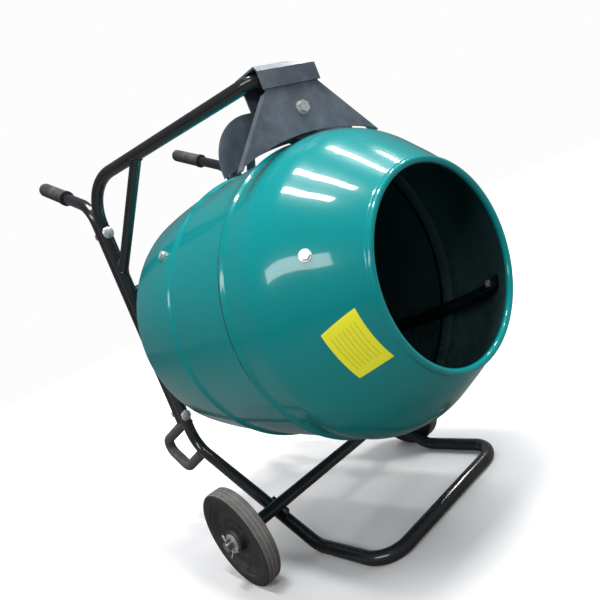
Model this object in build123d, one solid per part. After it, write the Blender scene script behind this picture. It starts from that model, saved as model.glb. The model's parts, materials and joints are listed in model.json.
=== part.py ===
from build123d import *
import os
from math import acos, atan2, cos, degrees, hypot, pi, radians, sin, tan

# Concrete mixer: a steel drum on a geared motor, in a two-wheeled tube frame.
# Millimetres.  While the pieces are made, X points to the drum mouth, Y to the left, Z up, with the
# ground at Z = 0, the wheel axle at X = 0 and the drum's middle plane at Y = 0.

# --- driving dimensions: frame tubes ---
tube_d = 25.4
tube_wall = 2.0
stand_half_width = 189.0        # foot and rail tubes, centre line from the middle plane
mast_half_width = 197.0         # uprights, centre line from the middle plane
foot_bar_x = 264.0
foot_heel_x = 69.0              # where the flat feet turn up into the rails
rail_top_x = -255.0             # lower rear bend of the frame
rail_top_z = 234.0
mast_top_x = -184.5             # upper rear bend of the frame
mast_top_z = 874.0
arm_end_x = 306.0               # top cross piece that carries the bracket
arm_end_z = 845.0
arm_half_width = 60.0
foot_bend_r = 55.0
heel_bend_r = 60.0
rail_bend_r = 70.0
mast_bend_r = 95.0
arm_bend_r = 38.0
stand_joint_z = 292.0           # butt weld between stand tube and mast tube
brace_d = 22.0
brace_foot_z = 671.0
brace_head_share = 0.36         # how far along the top arm the brace meets it
handle_foot_z = 296.0
handle_bend_z = 832.0
handle_bend_r = 60.0
handle_rise = 30.0              # degrees above level, towards the grips
handle_reach = 240.0            # from the bend to the end of the tube
grip_d = 33.0
grip_length = 122.0
grip_collar_d = 36.0
grip_cap = 5.0                  # rubber beyond the tube's end
frame_bolt_d = 10.0
frame_bolt_head_d = 26.0
frame_bolt_levels = (313.0, 765.0)

# --- rear rest loops ---
loop_bar_d = 14.0
loop_sleeve_d = 25.0
loop_reach = 188.0              # how far the loop stands out behind the rear bend
loop_heel_back = 103.0
loop_heel_z = 168.0
loop_out_z = 233.0
loop_root_z = 290.0
loop_foot_z = 212.0
loop_out_bend_r = 24.0
loop_heel_bend_r = 26.0
loop_sleeve_gap = 2.0

# --- drum, along its own axis (s is the distance behind the mouth) ---
mouth_x = 477.5
mouth_z = 447.5
drum_tilt = 2.9                 # degrees, mouth down
drum_wall = 2.0
front_wall = 2.6                # the front half is pressed from thicker sheet
mouth_r = 172.0
rim_roll_r = 6.0
cone_mid_r = 222.0
shoulder_r = 260.0
barrel_r = 272.5
rear_bead_r = 279.0
back_edge_r = 259.0
cone_mid_s = 68.0
shoulder_s = 122.0
barrel_s = 170.0                # where the shoulder runs out into the straight barrel
front_bead_s = 226.0
rear_bead_s = 418.6
back_s = 634.0
bead_height = 5.0
bead_half_width = 9.0
back_corner_r = 34.0
joint_lap = 24.0                # spigot of the rear shell inside the front shell
joint_step = 0.3                # gap between the two pressed edges
paddle_count = 2
paddle_first_angle = 26.3
paddle_twist = 16.2             # degrees from front bolt to rear bolt
paddle_front_s = 73.0
paddle_rear_s = 472.0
paddle_depth = 58.0
paddle_thickness = 3.0
paddle_foot = 26.0
paddle_bolt_d = 8.0
label_from_s = 23.0
label_to_s = 73.0
label_turn = -12.0              # degrees up from the right-hand side
label_span = 24.5
label_thickness = 0.4
label_gap = 0.15

# --- bracket and guide roller over the drum ---
plate_thickness = 3.0
roller_bolt_h = 322.0           # bolt above the drum axis
roller_d = 98.4
roller_width = 24.0
roller_bolt_d = 12.0
roller_bush_d = 20.0
bracket_top_half = 62.0
bracket_foot_half = 172.0
bracket_neck_h = 362.0
bracket_foot_h = 249.0
bracket_arc_r = 540.0
bracket_arc_gap = 8.0           # between the barrel and the foot of the bracket, at the middle
bracket_flange = 15.0
fold_inset = 4.0                # the folds stop short of the plate's corners
rear_half = 166.0
rear_shoulder_h = 347.0
rear_shoulder_r = 88.0
bracket_depth = 51.0            # between the two plates
cap_half_width = 67.0
cap_thickness = 3.0
cap_drop = 40.0
cap_rear_drop = 26.0
cap_chamfer = 10.0

# --- axle and wheels ---
axle_z = 100.0
axle_offset = -38.0             # the axle is set over to the right-hand side
wheel_centre = 261.0            # wheel centre from the middle of the axle
axle_d = 20.0
wheel_d = 200.0
wheel_width = 32.0
tyre_inner_r = 74.0
hub_r = 24.0
hub_width = 36.0
bush_d = 28.0
washer_d = 36.0
washer_t = 3.0
pin_d = 4.0
axle_overhang = 15.0            # axle beyond the outer washer
saddle_t = 6.0

# --- geared motor ---
crossbar_h = 140.0              # cross tubes above and below the drum axis
motor_plate_t = 4.0
motor_plate_w = 236.0
gearbox_wall = 6.0
shaft_d = 30.0
tail_d = 17.0
lay_d = 12.0
rotor_d = 15.0
pinion_teeth = 12
output_teeth = 60
lay_teeth = 72
output_module = 2.0
lay_module = 1.5
pressure_angle = 20.0
backlash = 0.2
rotor_angle = 60.0              # motor axis round the layshaft, from straight up to the left
output_gear_w = 14.0
lay_gear_w = 12.0
motor_r = 55.0
motor_length = 66.0
fin_count = 28
fan_r = 44.0
box_size = (58.0, 72.0, 46.0)
box_wall = 2.5

# --- clearances ---
running = 0.03                  # radial, shaft in a plain bush
slip = 0.1                      # radial, fixed pieces that slide together
apart = 0.5                     # between neighbours that move past each other

tube_r = tube_d / 2
drum_place = Pos(mouth_x, 0, mouth_z) * Rot(0, drum_tilt, 0)


# --- helpers ---
def bent_tube(points, radii, outer_r, wall=0.0):
    """A round tube, or a bar where wall is 0, along straight runs joined by tangent arcs."""
    path = FilletPolyline(*points, radius=radii) if radii else Line(*points)
    start = Plane(origin=path @ 0, z_dir=path % 0)
    section = Circle(outer_r)
    if wall:
        section = section - Circle(outer_r - wall)
    return sweep(start * section, path=path)


def straight_bar(a, b, outer_r, wall=0.0):
    """A round bar or tube from point a to point b."""
    return bent_tube([a, b], None, outer_r, wall)


def mirrored(points):
    """The same points on the other side of the middle plane."""
    return [(x, -y, z) for x, y, z in points]


def on_axis(s, lateral=0.0, height=0.0):
    """A location at distance s behind the mouth, with local Z along the drum axis to the rear."""
    return drum_place * Pos(-s, lateral, height) * Rot(0, -90, 0)


def axis_disc(radius, s_from, s_to, lateral=0.0, height=0.0, bore=0.0):
    """A disc or ring whose axis is parallel with the drum's."""
    body = Cylinder(radius, s_to - s_from, align=(Align.CENTER, Align.CENTER, Align.MIN))
    if bore:
        body = body - Cylinder(bore, s_to - s_from, align=(Align.CENTER, Align.CENTER, Align.MIN))
    return on_axis(s_from, lateral, height) * body


def cross_disc(radius, y_from, y_to, x=0.0, z=axle_z, bore=0.0):
    """A disc or ring whose axis runs across the machine."""
    body = Cylinder(radius, y_to - y_from, align=(Align.CENTER, Align.CENTER, Align.MIN))
    if bore:
        body = body - Cylinder(bore, y_to - y_from, align=(Align.CENTER, Align.CENTER, Align.MIN))
    return Pos(x, y_from, z) * Rot(-90, 0, 0) * body


def hexagon_prism(across_flats, height, bore=0.0):
    """A hexagon head or nut standing on the XY plane."""
    shape = extrude(RegularPolygon(across_flats / 2, 6, major_radius=False), height)
    if bore:
        shape = shape - Cylinder(bore, height, align=(Align.CENTER, Align.CENTER, Align.MIN))
    return shape


def save(name, shape):
    nodes[name] = shape


def group(shapes):
    """Separate solids kept side by side in one node."""
    solids = []
    for shape in shapes:
        solids.extend(shape.solids())
    return Compound(solids)


# --- lines of the frame ---
def mast_x(z):
    """X of an upright's centre line at height z."""
    return rail_top_x + (z - rail_top_z) * (mast_top_x - rail_top_x) / (mast_top_z - rail_top_z)


mast_lean = atan2(mast_top_x - rail_top_x, mast_top_z - rail_top_z)
handle_back = tube_d / cos(mast_lean)


def handle_x(z):
    """X of a handle tube's centre line, which lies against the back of its upright."""
    return mast_x(z) - handle_back


def arm_point(share, side=1):
    """A point on the centre line of a top arm."""
    x = mast_top_x + share * (arm_end_x - mast_top_x)
    y = mast_half_width + share * (arm_half_width - mast_half_width)
    z = mast_top_z + share * (arm_end_z - mast_top_z)
    return (x, side * y, z)


def stand_points():
    right = [
        (mast_x(stand_joint_z), -mast_half_width, stand_joint_z),
        (rail_top_x, -mast_half_width, rail_top_z),
        (foot_heel_x, -stand_half_width, tube_r),
        (foot_bar_x, -stand_half_width, tube_r),
    ]
    return right + mirrored(right)[::-1]


def mast_points():
    right = [
        (mast_x(stand_joint_z), -mast_half_width, stand_joint_z),
        (mast_top_x, -mast_half_width, mast_top_z),
        (arm_end_x, -arm_half_width, arm_end_z),
    ]
    return right + mirrored(right)[::-1]


def handle_points(side):
    bend_x = handle_x(handle_bend_z)
    end_x = bend_x - handle_reach * cos(radians(handle_rise))
    end_z = handle_bend_z + handle_reach * sin(radians(handle_rise))
    y = side * mast_half_width
    return [(handle_x(handle_foot_z), y, handle_foot_z), (bend_x, y, handle_bend_z), (end_x, y, end_z)]


def loop_points(side):
    y = side * mast_half_width
    return [
        (handle_x(loop_root_z) + tube_r, y, loop_root_z + 3.0),
        (rail_top_x - loop_reach, y, loop_out_z),
        (rail_top_x - loop_heel_back, y, loop_heel_z),
        (rail_top_x + tube_r, y, loop_foot_z),
    ]


stand_radii = [rail_bend_r, heel_bend_r, foot_bend_r, foot_bend_r, heel_bend_r, rail_bend_r]
mast_radii = [mast_bend_r, arm_bend_r, arm_bend_r, mast_bend_r]


# --- frame ---
def make_frame():
    bolt_bores = frame_bolt_shanks(frame_bolt_d / 2 + slip)
    stand_solid = bent_tube(stand_points(), stand_radii, tube_r)
    mast_solid = bent_tube(mast_points(), mast_radii, tube_r)
    save("stand_tube", bent_tube(stand_points(), stand_radii, tube_r, tube_wall))
    save("mast_tube", bent_tube(mast_points(), mast_radii, tube_r, tube_wall) - bolt_bores)
    braces = []
    bars = []
    sleeves = []
    for side, word in ((-1, "right"), (1, "left")):
        handle = bent_tube(handle_points(side), [handle_bend_r], tube_r, tube_wall)
        save("handle_tube_" + word, handle - bolt_bores)
        save("grip_" + word, make_grip(side))
        foot = (mast_x(brace_foot_z), side * mast_half_width, brace_foot_z)
        brace = straight_bar(foot, arm_point(brace_head_share, side), brace_d / 2, tube_wall)
        braces.append((brace - mast_solid).solids().sort_by(SortBy.VOLUME)[-1])
        bar, sleeve = make_loop(side, stand_solid, mast_solid)
        bars.append(bar)
        sleeves.append(sleeve)
    save("braces", group(braces))
    save("rest_loops", group(bars))
    save("rest_loop_sleeves", group(sleeves))
    make_crossbars(mast_solid)


def make_loop(side, stand_solid, mast_solid):
    """A bent bar welded to the frame at both ends, in a rubber sleeve that stops short of the welds."""
    points = loop_points(side)
    radii = [loop_out_bend_r, loop_heel_bend_r]
    handle_solid = bent_tube(handle_points(side), [handle_bend_r], tube_r)
    bar = bent_tube(points, radii, loop_bar_d / 2) - stand_solid - mast_solid - handle_solid
    sleeve = bent_tube(points, radii, loop_sleeve_d / 2, (loop_sleeve_d - loop_bar_d) / 2)
    keep_out = tube_r + loop_sleeve_gap
    sleeve = sleeve - bent_tube(stand_points(), stand_radii, keep_out)
    sleeve = sleeve - bent_tube(mast_points(), mast_radii, keep_out)
    sleeve = sleeve - bent_tube(handle_points(side), [handle_bend_r], keep_out)
    return bar.solids().sort_by(SortBy.VOLUME)[-1], sleeve.solids().sort_by(SortBy.VOLUME)[-1]


def make_grip(side):
    """A moulded rubber grip with a collar, pushed over the handle tube's end."""
    x, y, z = handle_points(side)[-1]
    rise = radians(handle_rise)
    place = Pos(x - grip_cap * cos(rise), y, z + grip_cap * sin(rise)) * Rot(0, 90 + handle_rise, 0)
    length = grip_length + grip_cap
    low = (Align.CENTER, Align.CENTER, Align.MIN)
    body = Cylinder(grip_d / 2, length, align=low)
    body = fillet(body.edges().sort_by(Axis.Z)[0], 9.0)
    collar = Pos(0, 0, length - 9.0) * Cylinder(grip_collar_d / 2, 9.0, align=low)
    bore = Pos(0, 0, grip_cap) * Cylinder(tube_r, length, align=low)
    return place * (body + collar - bore)


def make_crossbars(mast_solid):
    """Two cross tubes between the handle tubes, coped to them."""
    handles = [bent_tube(handle_points(side), [handle_bend_r], tube_r) for side in (-1, 1)]
    bars = []
    for height in (-crossbar_h, crossbar_h):
        bar = cross_disc(tube_r, -mast_half_width, mast_half_width, 0, 0, tube_r - tube_wall)
        bar = drum_place * Pos(-crossbar_s, 0, height) * bar
        bars.append((bar - handles[0] - handles[1] - mast_solid).solids().sort_by(SortBy.VOLUME)[-1])
    save("crossbars", group(bars))


mid_z = mouth_z + (mouth_x - handle_x(mouth_z)) * tan(radians(drum_tilt))
crossbar_s = (mouth_x - handle_x(mid_z)) / cos(radians(drum_tilt))
plate_s = crossbar_s - tube_r - motor_plate_t       # front face of the motor plate


def frame_bolt_places():
    """Where the carriage bolts pass, front to back, square to the uprights."""
    places = []
    for level in frame_bolt_levels:
        for side in (-1, 1):
            spot = Pos(mast_x(level), side * mast_half_width, level)
            places.append(spot * Rot(0, 90 + degrees(mast_lean), 0))
    return places


bolt_reach = 1.5 * tube_d


def frame_bolt_shanks(radius):
    """Holes or shanks through upright and handle tube; local Z points forward."""
    shank = Pos(0, 0, -bolt_reach - 12.0) * Cylinder(
        radius, bolt_reach + 12.0 + tube_r, align=(Align.CENTER, Align.CENTER, Align.MIN))
    return group([place * shank for place in frame_bolt_places()])


def make_frame_bolts():
    """Carriage bolts with domed heads in front, washers and nuts behind."""
    low = (Align.CENTER, Align.CENTER, Align.MIN)
    head_h = 5.5
    dome_r = (frame_bolt_head_d ** 2 / 4 + head_h ** 2) / (2 * head_h)
    bolts = []
    nuts = []
    for place in frame_bolt_places():
        dome = Pos(0, 0, tube_r + head_h - dome_r) * Sphere(dome_r)
        dome = dome & (Pos(0, 0, tube_r) * Cylinder(frame_bolt_head_d / 2, head_h, align=low))
        shank = Pos(0, 0, -bolt_reach - 12.0) * Cylinder(
            frame_bolt_d / 2, bolt_reach + 12.0 + tube_r, align=low)
        bolts.append(place * (dome + shank))
        washer = Pos(0, 0, -bolt_reach - 2.0) * (
            Cylinder(10.0, 2.0, align=low) - Cylinder(frame_bolt_d / 2, 2.0, align=low))
        nut = Pos(0, 0, -bolt_reach - 10.0) * hexagon_prism(17.0, 8.0, frame_bolt_d / 2)
        nuts.append(place * washer)
        nuts.append(place * nut)
    save("frame_fasteners", group(bolts + nuts))


# --- axle and wheels ---
rail_dx = rail_top_x - foot_heel_x
rail_dz = rail_top_z - tube_r
rail_len = hypot(rail_dx, rail_dz)


def make_axle():
    """Cross tube on two saddles over the rails, the axle bar in it, washers and split pins."""
    stop = wheel_centre - hub_width / 2 - washer_t
    end = wheel_centre + hub_width / 2 + washer_t + axle_overhang
    tube = cross_disc(tube_r, axle_offset - stop, axle_offset + stop, bore=axle_d / 2)
    save("axle_tube", tube)
    pin_hole_y = end - axle_overhang / 2
    bar = cross_disc(axle_d / 2, axle_offset - end, axle_offset + end)
    bar = chamfer(bar.edges().filter_by(GeomType.CIRCLE), 1.5)
    holes = []
    pins = []
    washers = []
    for side in (-1, 1):
        spot = Pos(0, axle_offset + side * pin_hole_y, axle_z) * Rot(0, -24, 0)
        holes.append(spot * Cylinder(pin_d / 2 + slip, axle_d + 4))
        pins.append(spot * split_pin())
        inner = axle_offset + side * (stop + washer_t / 2)
        outer = axle_offset + side * (wheel_centre + hub_width / 2 + washer_t / 2)
        for middle in (inner, outer):
            washers.append(cross_disc(
                washer_d / 2, middle - washer_t / 2 + 0.15, middle + washer_t / 2 - 0.15, bore=axle_d / 2))
    save("axle_bar", bar - group(holes))
    save("split_pins", group(pins))
    save("wheel_washers", group(washers))
    save("axle_saddles", make_saddles())


def split_pin():
    """A split pin: two legs through the hole, a ring on top, and the legs' tips bent apart."""
    leg_l = axle_d / 2 + 6.0
    legs = Cylinder(pin_d / 2, 2 * leg_l)
    slot = Pos(0, 0, -leg_l) * Box(2 * pin_d, 0.6, 11.0)
    eye = Pos(0, 0, leg_l + 2.4) * Rot(90, 0, 0) * Torus(3.4, 1.4)
    pin = legs - slot + eye
    for way in (-1, 1):
        start = (0, way * 1.1, -leg_l + 0.6)
        tip = (0, way * 9.0, -leg_l - 5.0)
        pin = pin + straight_bar(start, tip, 0.9)
    return pin


def make_saddles():
    """A plate on edge over each rail, hollowed to the rail below and to the axle tube above."""
    slope = atan2(rail_dz, -rail_dx)
    foot = ((0 - foot_heel_x) * rail_dx + (axle_z - tube_r) * rail_dz) / rail_len
    near_x = foot_heel_x + foot * rail_dx / rail_len
    near_z = tube_r + foot * rail_dz / rail_len
    y_at = stand_half_width + (mast_half_width - stand_half_width) * foot / rail_len
    rise = hypot(near_x, axle_z - near_z)
    saddles = []
    for side in (-1, 1):
        plate = Pos(near_x, side * y_at, near_z) * Rot(0, degrees(slope), 0) * Pos(0, 0, rise / 2) * Box(
            46.0, saddle_t, rise)
        plate = plate - cross_disc(tube_r, -400, 400)
        plate = plate - bent_tube(stand_points(), stand_radii, tube_r)
        saddles.append(plate.solids().sort_by(SortBy.VOLUME)[-1])
    return group(saddles)


def make_wheels():
    for side, word in ((-1, "right"), (1, "left")):
        y = axle_offset + side * wheel_centre
        save("wheel_tyre_" + word, wheel_ring(y, tyre_profile()))
        save("wheel_disc_" + word, wheel_ring(y, disc_profile(), side))
        half = hub_width / 2
        save("wheel_bush_" + word, cross_disc(bush_d / 2, y - half, y + half, bore=axle_d / 2 + running))


def wheel_ring(y, face, side=1):
    """A ring turned about the axle from a half section drawn in (radius, width)."""
    ring = revolve(Plane.XZ * face, Axis.Z)
    return Pos(0, y, axle_z) * Rot(90 if side < 0 else -90, 0, 0) * ring


def tyre_profile():
    """Solid tyre: flat tread with rounded shoulders and two grooves."""
    half = wheel_width / 2
    section = Polygon(
        (tyre_inner_r, -half + 2), (tyre_inner_r + 3, -half), (wheel_d / 2 - 5, -half),
        (wheel_d / 2, -half + 5), (wheel_d / 2, half - 5), (wheel_d / 2 - 5, half),
        (tyre_inner_r + 3, half), (tyre_inner_r, half - 2), align=None)
    for offset_w in (-half / 3, half / 3):
        section = section - Pos(wheel_d / 2, offset_w) * Rectangle(5.0, 2.2)
    return section


def disc_profile():
    """Wheel disc: outer rim under the tyre, a dished web and a hub."""
    half = wheel_width / 2
    hub = hub_width / 2
    web = 3.0
    return Polygon(
        (bush_d / 2, -hub), (hub_r, -hub), (hub_r, -2 - web), (tyre_inner_r - 14, -2 - web),
        (tyre_inner_r - 4, -half + 2), (tyre_inner_r, -half + 2), (tyre_inner_r, half - 2),
        (tyre_inner_r - 4, half - 2), (tyre_inner_r - 12, 6), (hub_r + 12, 6), (hub_r + 8, 2), (hub_r, 2),
        (hub_r, hub), (bush_d / 2, hub), align=None)


# --- drum ---
def front_cone_points():
    """Points on the front shell's outer line, from the rolled rim to the barrel."""
    return [
        (rim_roll_r + 2.0, mouth_r - 1.2),
        (cone_mid_s, cone_mid_r),
        (shoulder_s, shoulder_r),
        (barrel_s, barrel_r),
    ]


cone_line = Spline(*front_cone_points(), tangents=[(1.0, 0.92), (1.0, 0.0)])
cone_samples = [(cone_line @ (k / 80)) for k in range(81)]


def front_r(s):
    """Outer radius of the front shell at s."""
    if s >= barrel_s:
        return barrel_r
    for low, high in zip(cone_samples[:-1], cone_samples[1:]):
        if low.X <= s <= high.X:
            return low.Y + (high.Y - low.Y) * (s - low.X) / (high.X - low.X)
    return mouth_r


def rear_r(s):
    """Outer radius of the rear shell at s: straight to the rear bead, then drawn in to the back."""
    base = rear_bead_r - bead_height
    if s <= rear_bead_s:
        return barrel_r + (base - barrel_r) * (s - front_bead_s) / (rear_bead_s - front_bead_s)
    return base + (back_edge_r - base) * ((s - rear_bead_s) / (back_s - rear_bead_s)) ** 2


drum_section = Plane((0, 0, 0), x_dir=(-1, 0, 0), z_dir=(0, 1, 0))


def turned(face):
    """A drum piece turned about the drum axis from a section drawn in (s, radius)."""
    return drum_place * revolve(drum_section * face, Axis.X)


def shifted(points, amount):
    """Points moved square to their line, inwards for a positive amount."""
    moved = []
    for index, (s, r) in enumerate(points):
        s0, r0 = points[max(index - 1, 0)]
        s1, r1 = points[min(index + 1, len(points) - 1)]
        length = hypot(s1 - s0, r1 - r0)
        moved.append((s + amount * (r1 - r0) / length, r - amount * (s1 - s0) / length))
    return moved


def make_front_shell():
    """Front half: rolled mouth rim, cone, shoulder, barrel and the swaged bead over the joint."""
    bead_from = front_bead_s - bead_half_width
    bead_to = front_bead_s + bead_half_width
    sample_s = [8.0, 24.0, 46.0, 70.0, 96.0, 122.0, 146.0, barrel_s]
    inner_cone = shifted([(s, front_r(s)) for s in sample_s], front_wall)
    inner_cone[-1] = (barrel_s, barrel_r - front_wall)
    first = cone_line @ 0
    section = cone_line + Line((barrel_s, barrel_r), (bead_from, barrel_r))
    section = section + bead_line(bead_from, bead_to, barrel_r, barrel_r)
    section = section + Polyline(
        (bead_to, barrel_r), (bead_to, barrel_r - front_wall + 1.0),
        (front_bead_s, barrel_r + bead_height - front_wall), (bead_from, barrel_r - front_wall),
        (barrel_s, barrel_r - front_wall))
    section = section + Spline(*inner_cone[::-1], tangents=[(-1.0, 0.0), (-1.0, -0.92)])
    section = section + Line(inner_cone[0], (first.X, first.Y))
    shell = turned(make_face(section))
    rim = turned(Pos(rim_roll_r, mouth_r - rim_roll_r) * Circle(rim_roll_r))
    save("drum_front_shell", shell + rim - paddle_holes())


def bead_line(s_from, s_to, r_from, r_to):
    """The outside of a rolled bead between two points of the barrel."""
    middle = (s_from + s_to) / 2
    quarter = (s_to - s_from) / 5
    top = (r_from + r_to) / 2 + bead_height
    return Spline(
        (s_from, r_from), (middle - quarter, top - 0.3 * bead_height), (middle, top),
        (middle + quarter, top - 0.3 * bead_height), (s_to, r_to), tangents=[(1.0, 0.0), (1.0, 0.0)])


def rear_outline():
    base = rear_bead_r - bead_height
    seam_s = front_bead_s + bead_half_width
    spigot_r = barrel_r - front_wall - slip
    edge_s = back_s - back_corner_r
    return seam_s, spigot_r, base, edge_s


def make_rear_shell():
    """Rear half: spigot into the front half, barrel with a swaged bead, drawn-in wall and flat back."""
    seam_s, spigot_r, base, edge_s = rear_outline()
    wall = drum_wall
    edge_r = rear_r(edge_s)
    bead_from = rear_bead_s - bead_half_width
    bead_to = rear_bead_s + bead_half_width
    half_s = (bead_to + edge_s) / 2
    start_s = seam_s + joint_step
    hole_r = shaft_d / 2 + slip
    flat_r = edge_r - back_corner_r
    slope = (edge_s - half_s, rear_r(edge_s) - rear_r(half_s))
    outer = Line((start_s, rear_r(start_s)), (bead_from, rear_r(bead_from)))
    outer = outer + bead_line(bead_from, bead_to, rear_r(bead_from), rear_r(bead_to))
    outer = outer + Spline((bead_to, rear_r(bead_to)), (half_s, rear_r(half_s)), (edge_s, edge_r))
    outer = outer + Spline((edge_s, edge_r), (back_s, flat_r), tangents=[slope, (0.0, -1.0)])
    outer = outer + Polyline(
        (back_s, flat_r), (back_s, hole_r), (back_s - wall, hole_r), (back_s - wall, flat_r))
    inner = Spline(
        (back_s - wall, flat_r), (edge_s, edge_r - wall), tangents=[(0.0, 1.0), (-slope[0], -slope[1])])
    inner = inner + Spline(
        (edge_s, edge_r - wall), (half_s, rear_r(half_s) - wall), (bead_to, rear_r(bead_to) - wall))
    inner = inner + Polyline(
        (bead_to, rear_r(bead_to) - wall), (rear_bead_s, base + bead_height - wall),
        (bead_from, rear_r(bead_from) - wall), (seam_s + joint_lap / 3, spigot_r - wall),
        (front_bead_s - joint_lap, spigot_r - wall), (front_bead_s - joint_lap, spigot_r),
        (start_s, spigot_r), (start_s, rear_r(start_s)))
    shell = turned(make_face(outer + inner))
    save("drum_rear_shell", shell - paddle_holes() - hub_bolt_shanks(hub_bolt_d / 2 + slip))


def surface_place(s, angle, radius):
    """On the drum at s and radius, with local Z pointing out; angle is up from the right-hand side."""
    return drum_place * Rot(90 - angle, 0, 0) * Pos(-s, 0, radius)


def paddle_angles():
    return [paddle_first_angle + 360 * k / paddle_count for k in range(paddle_count)]


def slope_at(radius_of, s):
    """Tilt of the drum's outer line at s, in degrees."""
    return degrees(atan2(radius_of(s + 4) - radius_of(s - 4), 8))


def paddle_bolt_places():
    """Front and rear bolts of every paddle, standing on the outside of the drum."""
    places = []
    for first in paddle_angles():
        for s in (paddle_front_s, paddle_rear_s):
            share = (s - paddle_front_s) / (paddle_rear_s - paddle_front_s)
            radius_of = front_r if s < front_bead_s else rear_r
            place = surface_place(s, first + share * paddle_twist, radius_of(s))
            places.append(place * Rot(0, slope_at(radius_of, s), 0))
    return places


def paddle_holes():
    low = (Align.CENTER, Align.CENTER, Align.MIN)
    hole = Pos(0, 0, -20) * Cylinder(paddle_bolt_d / 2 + slip, 40, align=low)
    return group([place * hole for place in paddle_bolt_places()])


def paddle_point(first, s, depth, turn=0.0):
    """A point inside the drum, depth below the wall, on the paddle's line turned by some degrees."""
    share = (s - paddle_front_s) / (paddle_rear_s - paddle_front_s)
    radius_of = front_r if s < front_bead_s else rear_r
    radius = radius_of(s) - depth
    angle = radians(first + share * paddle_twist + turn)
    return (-s, -radius * cos(angle), radius * sin(angle))


def make_paddles():
    """Each paddle is a twisted blade on a foot strip, both lofted through stations along the drum."""
    paddles = []
    ends = (paddle_front_s - 22.0, paddle_rear_s + 24.0)
    count = 7
    stations = [ends[0] + (ends[1] - ends[0]) * k / (count - 1) for k in range(count)]
    for first in paddle_angles():
        sections = []
        for k, s in enumerate(stations):
            bow = sin(pi * k / (count - 1))
            clear = drum_wall + joint_clear(s)
            foot_turn = degrees(paddle_foot / barrel_r)
            skin_turn = degrees(paddle_thickness / barrel_r)
            depth = clear + 20.0 + paddle_depth * bow
            corner = [
                paddle_point(first, s, clear, -foot_turn / 2),
                paddle_point(first, s, clear, foot_turn / 2 + skin_turn),
                paddle_point(first, s, depth, foot_turn / 2 + 3.0 + skin_turn),
                paddle_point(first, s, depth, foot_turn / 2 + 3.0),
                paddle_point(first, s, clear + paddle_thickness, foot_turn / 2),
                paddle_point(first, s, clear + paddle_thickness, -foot_turn / 2),
            ]
            sections.append(make_face(Polyline(*corner, close=True)))
        blade = drum_place * loft(sections, ruled=True)
        paddles.append(blade)
    blades = group(paddles) - paddle_holes()
    save("mixing_paddles", group([blades]))


def joint_clear(s):
    """Extra depth so that a paddle passes under the spigot and clears the curved cone."""
    if s < shoulder_s + 60:
        return 6.0
    return 4.4


def make_paddle_bolts():
    """Hexagon bolts through wall and paddle foot, with nuts inside."""
    low = (Align.CENTER, Align.CENTER, Align.MIN)
    bolts = []
    nuts = []
    for place in paddle_bolt_places():
        head = Pos(0, 0, 1.2) * hexagon_prism(14.0, 5.0)
        head = head + Pos(0, 0, 0.05) * Cylinder(9.5, 1.6, align=low)
        shank = Pos(0, 0, -18.0) * Cylinder(paddle_bolt_d / 2, 18.6, align=low)
        bolts.append(place * (head + shank))
        nuts.append(place * Pos(0, 0, -17.0) * hexagon_prism(13.0, 5.5, paddle_bolt_d / 2))
    save("paddle_fasteners", group(bolts + nuts))


def make_seam():
    """The bead of sealant in the step behind the front shell's edge."""
    seam_s = front_bead_s + bead_half_width
    line = Pos(seam_s + 1.3, rear_r(seam_s) + 0.9) * Rectangle(2.0, 1.6)
    save("drum_seam", turned(line))


def make_label():
    """A thin plate that follows the front cone."""
    count = 5
    step = (label_to_s - label_from_s) / (count - 1)
    line = [(label_from_s + k * step, front_r(label_from_s + k * step)) for k in range(count)]
    under = shifted(line, -label_gap)
    top = shifted(line, -label_gap - label_thickness)
    outline = Spline(*under) + Line(under[-1], top[-1]) + Spline(*top[::-1]) + Line(top[0], under[0])
    section = make_face(outline)
    sector = revolve(drum_section * section, Axis.X, label_span)
    save("label", drum_place * Rot(90 - label_turn - label_span / 2, 0, 0) * sector)


# --- drum hub and output shaft ---
hub_flange_r = 85.0
hub_flange_t = 8.0
hub_bolt_d = 10.0
hub_bolt_pcd_r = 66.0
seal_s = back_s + hub_flange_t + 8.0
front_wall_s = plate_s - 50.0       # outside of the gearbox's front wall
cavity_s = front_wall_s + 8.0
cover_s = plate_s - 8.0


def hub_bolt_shanks(radius):
    shanks = []
    for k in range(6):
        angle = radians(60 * k)
        shanks.append(axis_disc(
            radius, back_s - 14, back_s + hub_flange_t + 2,
            hub_bolt_pcd_r * sin(angle), hub_bolt_pcd_r * cos(angle)))
    return group(shanks)


def make_hub():
    """Hub flange behind the drum's back, and the bolts through both."""
    shank = hub_bolt_d / 2
    flange = axis_disc(hub_flange_r, back_s, back_s + hub_flange_t, bore=shaft_d / 2)
    save("hub_flange", flange - hub_bolt_shanks(shank + slip))
    bolts = []
    nuts = []
    for k in range(6):
        angle = radians(60 * k)
        side = hub_bolt_pcd_r * sin(angle)
        up = hub_bolt_pcd_r * cos(angle)
        bolt = axis_disc(shank, back_s - drum_wall - 10, back_s + hub_flange_t, side, up)
        head = on_axis(back_s + hub_flange_t, side, up) * hexagon_prism(16.0, 5.0)
        bolts.append(bolt + head)
        nuts.append(on_axis(back_s - drum_wall - 8, side, up) * hexagon_prism(17.0, 8.0, shank))
    save("hub_fasteners", group(bolts + nuts))


# --- gearbox ---
output_r = output_module * output_teeth / 2
lay_drop = output_module * (output_teeth + pinion_teeth) / 2
rotor_step = lay_module * (lay_teeth + pinion_teeth) / 2
rotor_y = rotor_step * sin(radians(rotor_angle))
rotor_h = -lay_drop + rotor_step * cos(radians(rotor_angle))
output_gear_s = cavity_s + 1.5
lay_gear_s = output_gear_s + output_gear_w + 3.0
bearing_t = 10.0


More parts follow.
